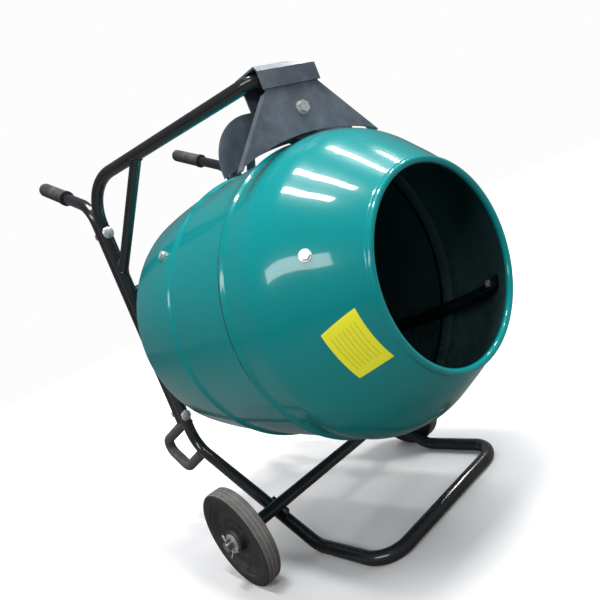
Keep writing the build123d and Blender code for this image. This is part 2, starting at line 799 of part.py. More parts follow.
def gear_outline(teeth, module, turn, addendum=0.95):
    """A spur gear outline with involute flanks; turn is the angle of its first tooth, in radians."""
    pitch = teeth * module / 2
    angle = radians(pressure_angle)
    base = pitch * cos(angle)
    tip = pitch + addendum * module
    root = pitch - 1.25 * module
    half = pi / 2 / teeth - backlash / 2 / pitch + tan(angle) - angle
    flank_from = max(base, root)
    flank = []
    steps = 4
    for k in range(steps):
        radius = flank_from + (tip - flank_from) * k / (steps - 1)
        roll = acos(min(1.0, base / radius))
        flank.append((half - tan(roll) + roll, radius))
    if base > root:
        flank = [(half, root)] + flank
    tooth = [(-a, r) for a, r in flank] + [(a, r) for a, r in reversed(flank)]
    points = []
    for k in range(teeth):
        centre = turn + 2 * pi * k / teeth
        points += [(r * cos(centre + a), r * sin(centre + a)) for a, r in tooth]
    return points


def spur_gear(teeth, module, turn, width, s_from, lateral, height, bore=0.0):
    """A gear on a shaft parallel with the drum axis; local X of its outline points up."""
    face = make_face(Polyline(*gear_outline(teeth, module, turn), close=True))
    gear = extrude(face, width, dir=(0, 0, 1))
    if bore:
        gear = gear - Cylinder(bore, width, align=(Align.CENTER, Align.CENTER, Align.MIN))
    return on_axis(s_from, lateral, height) * gear


def web_holes(count, ring_r, hole_r, width, s_from, lateral, height):
    """Lightening holes through a gear's web."""
    holes = []
    for k in range(count):
        angle = 2 * pi * k / count
        holes.append(axis_disc(
            hole_r, s_from, s_from + width, lateral + ring_r * sin(angle), height + ring_r * cos(angle)))
    return group(holes)


def make_gears():
    """Output gear and shaft, layshaft with its two gears, and the rotor shaft's pinion.

    In a gear's own plane, local X points up and local Y to the left of the machine.
    A wheel has a tooth on the line of centres where its pinion has a gap.
    """
    to_rotor = radians(rotor_angle)
    gear = spur_gear(output_teeth, output_module, pi, output_gear_w, output_gear_s, 0, 0, shaft_d / 2)
    holes = web_holes(6, 36.0, 10.0, output_gear_w, output_gear_s, 0, 0)
    save("output_gear", gear - holes)
    shaft = axis_disc(shaft_d / 2, back_s - drum_wall - 4, output_gear_s + output_gear_w)
    tail = axis_disc(tail_d / 2, output_gear_s + output_gear_w, plate_s)
    save("output_shaft", shaft + tail)
    pinion_turn = pi / pinion_teeth
    lay_pinion = spur_gear(
        pinion_teeth, output_module, pinion_turn, output_gear_w + 0.6, output_gear_s - 0.3, 0, -lay_drop)
    lay_shaft = axis_disc(lay_d / 2, cavity_s - bearing_t, plate_s, 0, -lay_drop)
    save("layshaft", lay_pinion + lay_shaft)
    wheel = spur_gear(lay_teeth, lay_module, to_rotor, lay_gear_w, lay_gear_s, 0, -lay_drop, lay_d / 2)
    holes = web_holes(5, 31.0, 10.5, lay_gear_w, lay_gear_s, 0, -lay_drop)
    save("lay_gear", wheel - holes)
    rotor_pinion = spur_gear(
        pinion_teeth, lay_module, to_rotor + pi + pi / pinion_teeth, lay_gear_w + 1.0, lay_gear_s - 0.5,
        rotor_y, rotor_h)
    rotor_shaft = axis_disc(rotor_d / 2, lay_gear_s + lay_gear_w + 0.5, fan_s + 14, rotor_y, rotor_h)
    save("rotor_shaft", rotor_pinion + rotor_shaft)


def gearbox_outline(margin):
    """A rounded outline round the output gear and the layshaft's gear; X up, Y left."""
    big = output_r + output_module + margin
    small = lay_module * (lay_teeth / 2 + 1) + margin
    lower = Pos(-lay_drop, 0) * Circle(small)
    upper = Circle(big)
    bridge_w = small * 2
    bridge = Pos(-lay_drop / 2, 0) * Rectangle(lay_drop, bridge_w)
    pinion = Pos(rotor_h, rotor_y) * Circle(lay_module * (pinion_teeth / 2 + 1) + margin + 2.0)
    return upper + lower + bridge + pinion


def ear_spots():
    """Bolt ears round the gearbox, as (left, up)."""
    big = output_r + output_module + 14.0
    small = lay_module * (lay_teeth / 2 + 1) + 14.0
    spots = []
    for angle in (-62, 0, 62):
        spots.append((big * sin(radians(angle)), big * cos(radians(angle))))
    for angle in (128, 232, 262):
        spots.append((small * sin(radians(angle)), small * cos(radians(angle)) - lay_drop))
    return spots


def gearbox_bolt_holes(radius, s_from, s_to):
    return group([axis_disc(radius, s_from, s_to, y, h) for y, h in ear_spots()])


def make_gearbox():
    """Aluminium front housing, rear cover, bearings and the output seal."""
    cavity = gearbox_outline(2.5)
    outside = gearbox_outline(2.5 + gearbox_wall)
    for y, h in ear_spots():
        outside = outside + Pos(h, y) * Circle(9.0)
    housing = on_axis(front_wall_s) * extrude(outside, cover_s - front_wall_s)
    housing = housing - on_axis(cavity_s) * extrude(cavity, cover_s - cavity_s)
    housing = housing + axis_disc(38.0, seal_s, cavity_s)
    housing = housing + axis_disc(22.0, cavity_s - bearing_t - 3, front_wall_s, 0, -lay_drop)
    housing = housing - axis_disc(31.0, seal_s + 6, cavity_s) - axis_disc(23.5, seal_s, cavity_s)
    housing = housing - axis_disc(16.0, cavity_s - bearing_t, cavity_s, 0, -lay_drop)
    housing = housing - gearbox_bolt_holes(3.0 + slip, cover_s - 24, cover_s)
    save("gearbox_housing", housing)
    cover = on_axis(cover_s) * extrude(outside, plate_s - cover_s)
    pockets = ((17.5, 0, 0), (16.0, 0, -lay_drop), (13.0, rotor_y, rotor_h))
    for radius, y, h in pockets:
        cover = cover - axis_disc(radius, cover_s, plate_s, y, h)
    cover = cover - gearbox_bolt_holes(3.0 + slip, cover_s, plate_s)
    save("gearbox_cover", cover)
    front = seal_s + 6
    seals = [
        axis_disc(23.5, seal_s, front, bore=shaft_d / 2 + running),
        axis_disc(13.0, cover_s, plate_s, rotor_y, rotor_h, rotor_d / 2 + running),
    ]
    save("shaft_seals", group(seals))
    bearings = [
        axis_disc(31.0, front, cavity_s - 1, bore=shaft_d / 2 + running),
        axis_disc(17.5, cover_s + 0.2, plate_s - 0.2, bore=tail_d / 2 + running),
        axis_disc(16.0, cavity_s - bearing_t, cavity_s - 1, 0, -lay_drop, lay_d / 2 + running),
        axis_disc(16.0, cover_s + 0.2, plate_s - 0.2, 0, -lay_drop, lay_d / 2 + running),
        axis_disc(17.5, motor_s + 1, stator_s, rotor_y, rotor_h, rotor_d / 2 + running),
        axis_disc(17.5, rear_shield_s, rear_shield_s + shield_t, rotor_y, rotor_h, rotor_d / 2 + running),
    ]
    save("bearings", group(bearings))


def make_motor_plate():
    """Steel plate between the cross tubes, with a hole for the rotor, bolted up from behind."""
    height = 2 * crossbar_h + tube_d
    face = RectangleRounded(height, motor_plate_w, 14.0)
    plate = on_axis(plate_s) * extrude(face, motor_plate_t)
    plate = plate - axis_disc(16.0, plate_s, plate_s + motor_plate_t, rotor_y, rotor_h)
    plate = plate - gearbox_bolt_holes(3.0 + slip, plate_s, plate_s + motor_plate_t)
    plate = plate - motor_bolt_holes(3.0 + slip, plate_s, plate_s + motor_plate_t)
    save("motor_plate", plate)
    rear = plate_s + motor_plate_t
    bolts = []
    for y, h in ear_spots():
        shank = axis_disc(3.0, cover_s - 20, rear, y, h)
        head = axis_disc(5.0, rear, rear + 6, y, h)
        socket = on_axis(rear + 3, y, h) * hexagon_prism(5.0, 3.0)
        bolts.append(shank + head - socket)
    for y, h in motor_bolt_spots():
        shank = axis_disc(3.0, plate_s, motor_s + 7, y, h)
        bolts.append(shank + on_axis(motor_s + 7, y, h) * hexagon_prism(8.0, 3.5))
    save("housing_bolts", group(bolts))


# --- motor ---
motor_s = plate_s + motor_plate_t
shield_t = 11.0
stator_s = motor_s + shield_t
rear_shield_s = stator_s + motor_length
fan_s = rear_shield_s + shield_t + 3.0
motor_flange_r = 60.0


def motor_bolt_spots():
    spots = []
    for k in range(4):
        angle = radians(45 + 90 * k)
        spots.append((rotor_y + 52 * sin(angle), rotor_h + 52 * cos(angle)))
    return spots


def motor_bolt_holes(radius, s_from, s_to):
    return group([axis_disc(radius, s_from, s_to, y, h) for y, h in motor_bolt_spots()])


def make_motor():
    """Front shield, finned case with the stator, rear shield, rotor core, fan and fan cover."""
    y, h = rotor_y, rotor_h
    front = axis_disc(motor_flange_r, motor_s, motor_s + 7, y, h)
    front = front + axis_disc(motor_r - 9, motor_s + 7, stator_s, y, h)
    front = front - axis_disc(17.5, motor_s, stator_s, y, h) - motor_bolt_holes(3.0 + slip, motor_s, stator_s)
    save("motor_front_shield", front)
    case = axis_disc(motor_r - 5, stator_s, rear_shield_s, y, h, motor_r - 8)
    for k in range(fin_count):
        fin = Box(6, 2.0, motor_length, align=(Align.CENTER, Align.CENTER, Align.MIN))
        fin = Pos(motor_r - 3, 0, 0) * fin
        case = case + on_axis(stator_s, y, h) * Rot(0, 0, 360 * k / fin_count) * fin
    save("motor_case", case)
    save("stator", axis_disc(motor_r - 8, stator_s + 10, rear_shield_s - 10, y, h, 31.0))
    save("rotor_core", axis_disc(31.0 - apart, stator_s + 10, rear_shield_s - 10, y, h, rotor_d / 2))
    rear = axis_disc(motor_r, rear_shield_s, rear_shield_s + shield_t, y, h, 17.5)
    save("motor_rear_shield", rear)
    make_fan(y, h)


def make_fan(y, h):
    """Cooling fan on the rotor shaft and the slotted cover over it."""
    hub = axis_disc(14.0, fan_s, fan_s + 14, y, h) + axis_disc(fan_r, fan_s, fan_s + 2, y, h)
    for k in range(8):
        blade = Pos(27, 0, 2) * Box(32, 2.0, 12, align=(Align.CENTER, Align.CENTER, Align.MIN))
        hub = hub + on_axis(fan_s, y, h) * Rot(0, 0, 45 * k) * blade
    save("cooling_fan", hub - axis_disc(rotor_d / 2, fan_s, fan_s + 14, y, h))
    end_s = fan_s + 19
    cover = axis_disc(motor_r + 2, rear_shield_s + 4, end_s, y, h)
    cover = cover - axis_disc(motor_r, rear_shield_s + 4, end_s - 2, y, h)
    for ring_r in (14, 22, 30, 38):
        for k in range(3):
            slot = SlotArc(CenterArc((0, 0), ring_r, 120 * k + 20, 80), 4.4)
            cover = cover - on_axis(end_s - 2, y, h) * extrude(slot, 2)
    save("fan_cover", cover)


# --- switch box ---
def box_place():
    """Local Z up from the motor case, local X forward; the box stands on the case's fins."""
    return drum_place * Pos(-(stator_s + motor_length / 2), rotor_y, rotor_h + motor_r + 0.2)


def make_switch_box():
    """Box on the motor with lid, two buttons, switch block, capacitor, cable gland and screws."""
    low = (Align.CENTER, Align.CENTER, Align.MIN)
    length, width, height = box_size
    place = box_place()
    outer = fillet(Box(length, width, height, align=low).edges().filter_by(Axis.Z), 6.0)
    inner = Pos(0, 0, box_wall) * Box(length - 2 * box_wall, width - 2 * box_wall, height, align=low)
    gland_spot = Pos(-length / 2, -16, 20) * Rot(0, -90, 0)
    box = outer - inner - gland_spot * Cylinder(8.0, 3 * box_wall)
    posts = []
    for px in (-1, 1):
        for py in (-1, 1):
            spot = Pos(px * (length / 2 - 6.0), py * (width / 2 - 6.0), 0)
            post = spot * Pos(0, 0, box_wall) * Cylinder(4.0, height - box_wall, align=low)
            box = box + post - spot * Pos(0, 0, height - 14) * Cylinder(1.6, 14, align=low)
            posts.append(spot)
    save("switch_box", place * box)
    lid = Pos(0, 0, height) * fillet(Box(length, width, 3.0, align=low).edges().filter_by(Axis.Z), 6.0)
    screws = []
    for spot in posts:
        lid = lid - spot * Pos(0, 0, height) * Cylinder(1.7, 3.0, align=low)
        screw = spot * Pos(0, 0, height - 11) * Cylinder(1.5, 14, align=low)
        screws.append(place * (screw + spot * Pos(0, 0, height + 3) * Cylinder(3.0, 1.8, align=low)))
    save("housing_bolts", group([nodes["housing_bolts"], *screws]))
    for py, word in ((-15, "start"), (15, "stop")):
        spot = Pos(0, py, height)
        lid = lid - spot * Cylinder(9.0 + apart, 3.0, align=low)
        guard = spot * Pos(0, 0, 3) * (Cylinder(13.0, 5, align=low) - Cylinder(9.0 + apart, 5, align=low))
        lid = lid + guard
        cap = spot * Pos(0, 0, -2.0) * Cylinder(9.0, 10.5, align=low)
        cap = fillet(cap.edges().sort_by(Axis.Z)[-1], 1.2)
        stem = spot * Pos(0, 0, -6.0) * Cylinder(3.0, 4.5, align=low)
        save(word + "_button", place * (cap + stem))
    save("switch_box_lid", place * lid)
    block = Pos(2, 0, box_wall) * Box(26, 50, height - box_wall - 13, align=low)
    save("switch_block", place * block)
    gland = gland_spot * gland_body()
    save("cable_gland", place * gland)


gland_bore_r = 4.5


def gland_body():
    """Cable gland: thread in the wall, hexagon, domed nut, and a bore for the cable."""
    low = (Align.CENTER, Align.CENTER, Align.MIN)
    thread = Pos(0, 0, -box_wall - 4) * Cylinder(8.0, box_wall + 4, align=low)
    lock = Pos(0, 0, -box_wall - 4) * (hexagon_prism(19.0, 4.0) - Cylinder(7.0, 4.0, align=low))
    body = thread + lock + hexagon_prism(19.0, 6.0) + Pos(0, 0, 6) * Cylinder(8.6, 12.0, align=low)
    body = fillet(body.edges().sort_by(Axis.Z)[-1], 2.5)
    return body - Pos(0, 0, -10) * Cylinder(gland_bore_r, 40, align=low)


# --- bracket, cap and guide roller ---
def bracket_foot_arc():
    """The circle that hollows the bracket's foot over the barrel; X up, Y left."""
    return Pos(barrel_r + bracket_arc_gap - bracket_arc_r, 0) * Circle(bracket_arc_r)


def bracket_front():
    """A trapezium plate over the drum, its two sloping sides folded to the rear."""
    neck = (bracket_neck_h, bracket_top_half)
    foot = (bracket_foot_h, bracket_foot_half)
    shape = Polygon(
        (bracket_top_h, -neck[1]), (neck[0], -neck[1]), (foot[0], -foot[1]), foot, neck,
        (bracket_top_h, neck[1]), align=None)
    plate = on_axis(front_plate_s) * extrude(shape - bracket_foot_arc(), plate_thickness, dir=(0, 0, 1))
    direction = Vector(foot[0] - neck[0], foot[1] - neck[1], 0).normalized()
    length = hypot(foot[0] - neck[0], foot[1] - neck[1])
    for side in (-1, 1):
        x_dir = (direction.X, side * direction.Y, 0)
        start = (neck[0] + direction.X * fold_inset, side * (neck[1] + direction.Y * fold_inset), 0)
        strip = Plane(start, x_dir=x_dir, z_dir=(0, 0, 1)) * Box(
            length - 2 * fold_inset, plate_thickness, bracket_flange,
            align=(Align.MIN, Align.MIN if side > 0 else Align.MAX, Align.MIN))
        plate = plate + on_axis(front_plate_s) * strip
    return plate


def bracket_rear():
    """A flat plate with round shoulders and a neck that reaches up behind the cross piece."""
    height = rear_shoulder_h - bracket_foot_h
    panel = Pos(bracket_foot_h + height / 2, 0) * Rectangle(height, 2 * rear_half)
    panel = fillet(panel.vertices().sort_by(Axis.X)[-2:], rear_shoulder_r)
    neck = Pos((bracket_top_h + bracket_foot_h) / 2, 0) * Rectangle(
        bracket_top_h - bracket_foot_h, 2 * bracket_top_half)
    shape = panel + neck - bracket_foot_arc()
    return on_axis(rear_plate_s) * extrude(shape, plate_thickness, dir=(0, 0, 1))


cross_s = (mouth_x - arm_end_x) * cos(radians(drum_tilt)) + (arm_end_z - mouth_z) * sin(radians(drum_tilt))
cross_h = (arm_end_z - mouth_z) * cos(radians(drum_tilt)) - (mouth_x - arm_end_x) * sin(radians(drum_tilt))
cap_under_h = cross_h + tube_r
bracket_top_h = cap_under_h + cap_thickness - cap_chamfer - 1.0
front_plate_s = cross_s - tube_r - plate_thickness
rear_plate_s = front_plate_s + plate_thickness + bracket_depth


def make_bracket():
    arms = bent_tube(mast_points(), mast_radii, tube_r)
    hole = axis_disc(
        roller_bolt_d / 2 + slip, front_plate_s, rear_plate_s + plate_thickness, 0, roller_bolt_h)
    save("bracket_front_plate", bracket_front() - arms - hole)
    save("bracket_rear_plate", bracket_rear() - arms - hole)
    make_cap()
    make_roller()


def make_cap():
    """The folded steel cap over the cross piece: front flange, bevel, top and rear flange."""
    t = cap_thickness
    front = front_plate_s - t
    rear = rear_plate_s + plate_thickness + t
    top = cap_under_h + t
    outline = Polygon(
        (front, top - cap_drop), (front, top - cap_chamfer), (front + cap_chamfer * 0.6, top), (rear, top),
        (rear, top - cap_rear_drop), (rear - t, top - cap_rear_drop), (rear - t, cap_under_h),
        (front + t + 2.0, cap_under_h), (front + t, top - cap_chamfer - 1.0), (front + t, top - cap_drop),
        align=None)
    body = extrude(drum_section * outline, cap_half_width, both=True)
    save("top_cap", drum_place * body - bent_tube(mast_points(), mast_radii, tube_r))


def make_roller():
    """Rubber-faced guide roller that steadies the barrel, on a bush, a long bolt and two spacers."""
    middle = (front_plate_s + plate_thickness + rear_plate_s) / 2
    lo = middle - roller_width / 2
    hi = middle + roller_width / 2
    roller = axis_disc(roller_d / 2, lo, hi, 0, roller_bolt_h, roller_bush_d / 2)
    save("guide_roller", roller)
    bush_lo, bush_hi = lo - 1.0, hi + 1.0
    save("roller_bush", axis_disc(
        roller_bush_d / 2, bush_lo, bush_hi, 0, roller_bolt_h, roller_bolt_d / 2 + running))
    inner_face = front_plate_s + plate_thickness
    outer_face = rear_plate_s + plate_thickness
    bolt_r = roller_bolt_d / 2
    head_h = 7.5
    washer_h = 2.0
    nut_h = 10.0
    head_s = front_plate_s - washer_h - head_h
    head = on_axis(head_s, 0, roller_bolt_h) * hexagon_prism(19.0, head_h)
    bolt = head + axis_disc(bolt_r, front_plate_s - washer_h, outer_face + nut_h + 4, 0, roller_bolt_h)
    washer = axis_disc(12.0, front_plate_s - washer_h, front_plate_s, 0, roller_bolt_h, bolt_r)
    nut = on_axis(outer_face, 0, roller_bolt_h) * hexagon_prism(19.0, nut_h, bolt_r)
    front_spacer = axis_disc(9.5, inner_face, bush_lo - apart, 0, roller_bolt_h, bolt_r)
    rear_spacer = axis_disc(9.5, bush_hi + apart, rear_plate_s, 0, roller_bolt_h, bolt_r)
    save("roller_bolt", group([bolt, washer, nut, front_spacer, rear_spacer]))


# --- assembly ---
nodes = {}


def build():
    make_frame()
    make_frame_bolts()
    make_axle()
    make_wheels()
    make_front_shell()
    make_rear_shell()
    make_seam()
    make_label()
    make_paddles()
    make_paddle_bolts()
    make_hub()
    make_gears()
    make_gearbox()
    make_motor_plate()
    make_motor()
    make_switch_box()
    make_bracket()


def centre_shift():
    """Moves the origin to the ground under the middle of the whole machine's box."""
    boxes = [shape.bounding_box() for shape in nodes.values()]
    middle_x = (min(box.min.X for box in boxes) + max(box.max.X for box in boxes)) / 2
    middle_y = (min(box.min.Y for box in boxes) + max(box.max.Y for box in boxes)) / 2
    return -middle_x, -middle_y


def main():
    build()
    dx, dy = centre_shift()
    os.makedirs("parts", exist_ok=True)
    for name, shape in nodes.items():
        export_step(Pos(dx, dy, 0) * shape, "parts/" + name + ".step")
    print("origin shift", round(dx, 3), round(dy, 3), "nodes", len(nodes))


if __name__ == "__main__":
    main()
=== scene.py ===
import json
from math import cos, pi, radians, sin

import bpy
import numpy as np
from mathutils import Matrix, Vector


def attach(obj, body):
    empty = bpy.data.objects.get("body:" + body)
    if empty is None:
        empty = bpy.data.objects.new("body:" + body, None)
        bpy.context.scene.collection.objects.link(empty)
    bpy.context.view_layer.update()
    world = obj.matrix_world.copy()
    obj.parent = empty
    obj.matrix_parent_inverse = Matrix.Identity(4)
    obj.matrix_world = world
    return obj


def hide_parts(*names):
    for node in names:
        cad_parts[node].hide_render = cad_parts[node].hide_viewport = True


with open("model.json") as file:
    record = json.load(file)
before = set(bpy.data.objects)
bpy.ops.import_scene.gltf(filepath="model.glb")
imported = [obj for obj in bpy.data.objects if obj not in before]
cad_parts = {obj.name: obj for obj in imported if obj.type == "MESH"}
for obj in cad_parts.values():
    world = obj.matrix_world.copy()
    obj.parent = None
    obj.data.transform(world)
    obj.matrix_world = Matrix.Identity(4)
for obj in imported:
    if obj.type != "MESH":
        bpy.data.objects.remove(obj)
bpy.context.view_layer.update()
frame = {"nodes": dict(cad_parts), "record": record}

# Concrete mixer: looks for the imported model.  Metres, in the row's frame.
MM = 0.001
rng = np.random.default_rng(7)

# --- the drum's line: s is the distance behind the mouth, r the radius, both in millimetres ---
MOUTH_R = 172.0
RIM_R = 6.0
CONE_MID = (68.0, 222.0)
SHOULDER = (122.0, 260.0)
BARREL_S = 170.0
BARREL_R = 272.5
FRONT_WALL = 2.6
REAR_WALL = 2.0
FRONT_BEAD_S = 226.0
REAR_BEAD_S = 418.6
REAR_BASE_R = 274.0
BEAD_H = 5.0
BEAD_HALF = 9.0
BACK_EDGE_R = 259.0
BACK_S = 634.0
BACK_CORNER = 34.0
SHAFT_R = 15.1
SEAM_S = FRONT_BEAD_S + BEAD_HALF
SPIGOT_LAP = 24.0              # the rear half reaches this far inside the front half, past its bead
SPIGOT_R = 267.6
JOINT_REF_S = 300.0            # the drum joint's point on the axis
AROUND = 256                   # steps round the drum

joints = {j["name"]: j for j in frame["record"]["behaviour"]["joints"]}
spin = joints["drum_spin"]
AXIS = np.array(spin["axis"], float)
AXIS /= np.linalg.norm(AXIS)
LEFT = np.array((0.0, 1.0, 0.0))
UP = np.cross(AXIS, LEFT)
MOUTH = np.array(spin["pos_m"], float) + JOINT_REF_S * MM * AXIS


# --- meshes ---
def grid_faces(rows, columns, wrap_rows, wrap_columns):
    """Quads over a grid of rows by columns, each face one step of either index."""
    r = np.arange(rows if wrap_rows else rows - 1)
    c = np.arange(columns if wrap_columns else columns - 1)
    r0, c0 = np.meshgrid(r, c, indexing="ij")
    r1 = (r0 + 1) % rows
    c1 = (c0 + 1) % columns
    quads = np.stack([r0 * columns + c0, r0 * columns + c1, r1 * columns + c1, r1 * columns + c0], axis=-1)
    return quads.reshape(-1, 4)


def mesh_piece(name, points, quads, materials, body, index=None, uv=None):
    """A mesh object from an array of points and an array of quads, riding on a body."""
    mesh = bpy.data.meshes.new(name)
    mesh.from_pydata(points.reshape(-1, 3).tolist(), [], quads.tolist())
    mesh.polygons.foreach_set("use_smooth", np.ones(len(quads), bool))
    for material in materials:
        mesh.materials.append(material)
    if index is not None:
        mesh.polygons.foreach_set("material_index", index.astype(np.int32))
    if uv is not None:
        layer = mesh.uv_layers.new(name="UVMap")
        layer.data.foreach_set("uv", uv[quads.ravel()].astype(np.float32).ravel())
    mesh.update()
    piece = bpy.data.objects.new(name, mesh)
    bpy.context.scene.collection.objects.link(piece)
    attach(piece, body)
    return piece


def hermite(points, first, last, count):
    """A cubic through the points: chord-length Hermite spans, with the end directions given."""
    pts = np.array(points, float)
    chord = np.linalg.norm(np.diff(pts, axis=0), axis=1)
    knots = np.concatenate([[0.0], np.cumsum(chord)])
    slope = np.gradient(pts, knots, axis=0)
    for end, direction in ((0, first), (-1, last)):
        if direction is not None:
            d = np.array(direction, float)
            slope[end] = d / np.linalg.norm(d)
    t = np.linspace(0.0, knots[-1], count)
    k = np.clip(np.searchsorted(knots, t, side="right") - 1, 0, len(chord) - 1)
    h = chord[k][:, None]
    u = ((t - knots[k]) / chord[k])[:, None]
    return ((2 * u**3 - 3 * u**2 + 1) * pts[k] + (u**3 - 2 * u**2 + u) * h * slope[k]
            + (3 * u**2 - 2 * u**3) * pts[k + 1] + (u**3 - u**2) * h * slope[k + 1])


def on_drum(s, r, angle):
    """Points at s behind the mouth, radius r, angle up from the right-hand side, in mm and radians."""
    s, r, angle = np.broadcast_arrays(s, r, angle)
    out = MOUTH - (s * MM)[..., None] * AXIS
    return out + (r * MM)[..., None] * (np.sin(angle)[..., None] * UP - np.cos(angle)[..., None] * LEFT)


def lathe(profile, steps, place):
    """A profile of (along, radius) turned round an axis: place(along, radius, angle) gives the points."""
    angle = np.linspace(0.0, 2 * pi, steps, endpoint=False)
    return place(profile[:, 0][:, None], profile[:, 1][:, None], angle[None, :])


# --- shader node groups ---
def shader_group(name, inputs, outputs):
    """An empty group with its sockets; returns the tree and its input and output nodes."""
    tree = bpy.data.node_groups.new(name, "ShaderNodeTree")
    for label, kind, value in inputs:
        socket = tree.interface.new_socket(label, in_out="INPUT", socket_type=kind)
        socket.default_value = value
    for label, kind in outputs:
        tree.interface.new_socket(label, in_out="OUTPUT", socket_type=kind)
    return tree, tree.nodes.new("NodeGroupInput"), tree.nodes.new("NodeGroupOutput")


def add(tree, kind, links=(), **values):
    """A node with socket values by name, and links given as (source socket, input name)."""
    node = tree.nodes.new(kind)
    for key, value in values.items():
        if hasattr(node, key):
            setattr(node, key, value)
        else:
            node.inputs[key.replace("_", " ").title()].default_value = value
    for source, target in links:
        tree.links.new(source, node.inputs[target])
    return node


def ramp(tree, source, low, high):
    """Stretches a 0 to 1 value between two limits."""
    node = tree.nodes.new("ShaderNodeMapRange")
    node.interpolation_type = "SMOOTHSTEP"
    node.inputs["From Min"].default_value = low
    node.inputs["From Max"].default_value = high
    tree.links.new(source, node.inputs["Value"])
    return node.outputs["Result"]


def times(tree, a, b):
    """The product of two sockets, or of a socket and a number."""
    node = tree.nodes.new("ShaderNodeMath")
    node.operation = "MULTIPLY"
    tree.links.new(a, node.inputs[0])
    if isinstance(b, float):
        node.inputs[1].default_value = b
    else:
        tree.links.new(b, node.inputs[1])
    return node.outputs[0]


def mixed(tree, factor, a, b):
    """Colour a where the factor is 0, b where it is 1."""
    node = tree.nodes.new("ShaderNodeMix")
    node.data_type = "RGBA"
    tree.links.new(factor, node.inputs["Factor"])
    for socket, value in ((node.inputs[6], a), (node.inputs[7], b)):
        if isinstance(value, tuple):
            socket.default_value = value
        else:
            tree.links.new(value, socket)
    return node.outputs[2]


def mottle_group():
    """Cloudy colour change: two noises at one scale and at eight times it, mixed into a second tone."""
    tree, given, out = shader_group(
        "mottle",
        [("Colour", "NodeSocketColor", (0.5, 0.5, 0.5, 1)), ("Tone", "NodeSocketColor", (0.4, 0.4, 0.4, 1)),
         ("Scale", "NodeSocketFloat", 20.0), ("Amount", "NodeSocketFloat", 0.5)],
        [("Colour", "NodeSocketColor"), ("Mask", "NodeSocketFloat")])
    place = add(tree, "ShaderNodeTexCoord").outputs["Object"]
    broad = add(
        tree, "ShaderNodeTexNoise", [(place, "Vector"), (given.outputs["Scale"], "Scale")], Detail=4.0)
    fine_scale = times(tree, given.outputs["Scale"], 8.0)
    fine = add(tree, "ShaderNodeTexNoise", [(place, "Vector"), (fine_scale, "Scale")], Detail=3.0)
    cloud = ramp(tree, broad.outputs["Fac"], 0.35, 0.68)
    speck = ramp(tree, fine.outputs["Fac"], 0.4, 0.75)
    both = add(tree, "ShaderNodeMath", operation="ADD")
    tree.links.new(times(tree, cloud, 0.7), both.inputs[0])
    tree.links.new(times(tree, speck, 0.3), both.inputs[1])
    mask = times(tree, both.outputs[0], given.outputs["Amount"])
    tree.links.new(mixed(tree, mask, given.outputs["Colour"], given.outputs["Tone"]), out.inputs["Colour"])
    tree.links.new(both.outputs[0], out.inputs["Mask"])
    return tree


def grain_group():
    """Fine relief: a noise for the skin of paint, rubber or casting, with a slower swell under it."""
    tree, given, out = shader_group(
        "grain",
        [("Scale", "NodeSocketFloat", 400.0), ("Swell", "NodeSocketFloat", 0.4)],
        [("Height", "NodeSocketFloat")])
    place = add(tree, "ShaderNodeTexCoord").outputs["Object"]
    skin = add(
        tree, "ShaderNodeTexNoise", [(place, "Vector"), (given.outputs["Scale"], "Scale")], Detail=2.0)
    slow_scale = times(tree, given.outputs["Scale"], 0.08)
    slow = add(tree, "ShaderNodeTexNoise", [(place, "Vector"), (slow_scale, "Scale")], Detail=1.0)
    total = add(tree, "ShaderNodeMath", operation="ADD")
    tree.links.new(skin.outputs["Fac"], total.inputs[0])
    tree.links.new(times(tree, slow.outputs["Fac"], given.outputs["Swell"]), total.inputs[1])
    tree.links.new(total.outputs[0], out.inputs["Height"])
    return tree


def dust_group():
    """Dust lying on upward faces: the normal's height, broken up by a noise, as a mask and a colour."""
    tree, given, out = shader_group(
        "dust",
        [("Colour", "NodeSocketColor", (0.5, 0.5, 0.5, 1)),
         ("Dust", "NodeSocketColor", (0.6, 0.57, 0.52, 1)),
         ("Scale", "NodeSocketFloat", 60.0), ("Amount", "NodeSocketFloat", 0.3)],
        [("Colour", "NodeSocketColor"), ("Mask", "NodeSocketFloat")])
    normal = add(tree, "ShaderNodeNewGeometry").outputs["Normal"]
    facing = add(tree, "ShaderNodeSeparateXYZ", [(normal, "Vector")])
    upward = ramp(tree, facing.outputs["Z"], -0.4, 1.0)
    place = add(tree, "ShaderNodeTexCoord").outputs["Object"]
    patch = add(
        tree, "ShaderNodeTexNoise", [(place, "Vector"), (given.outputs["Scale"], "Scale")], Detail=6.0)
    lying = times(tree, upward, ramp(tree, patch.outputs["Fac"], 0.3, 0.75))
    mask = times(tree, lying, given.outputs["Amount"])
    tree.links.new(mixed(tree, mask, given.outputs["Colour"], given.outputs["Dust"]), out.inputs["Colour"])
    tree.links.new(mask, out.inputs["Mask"])
    return tree


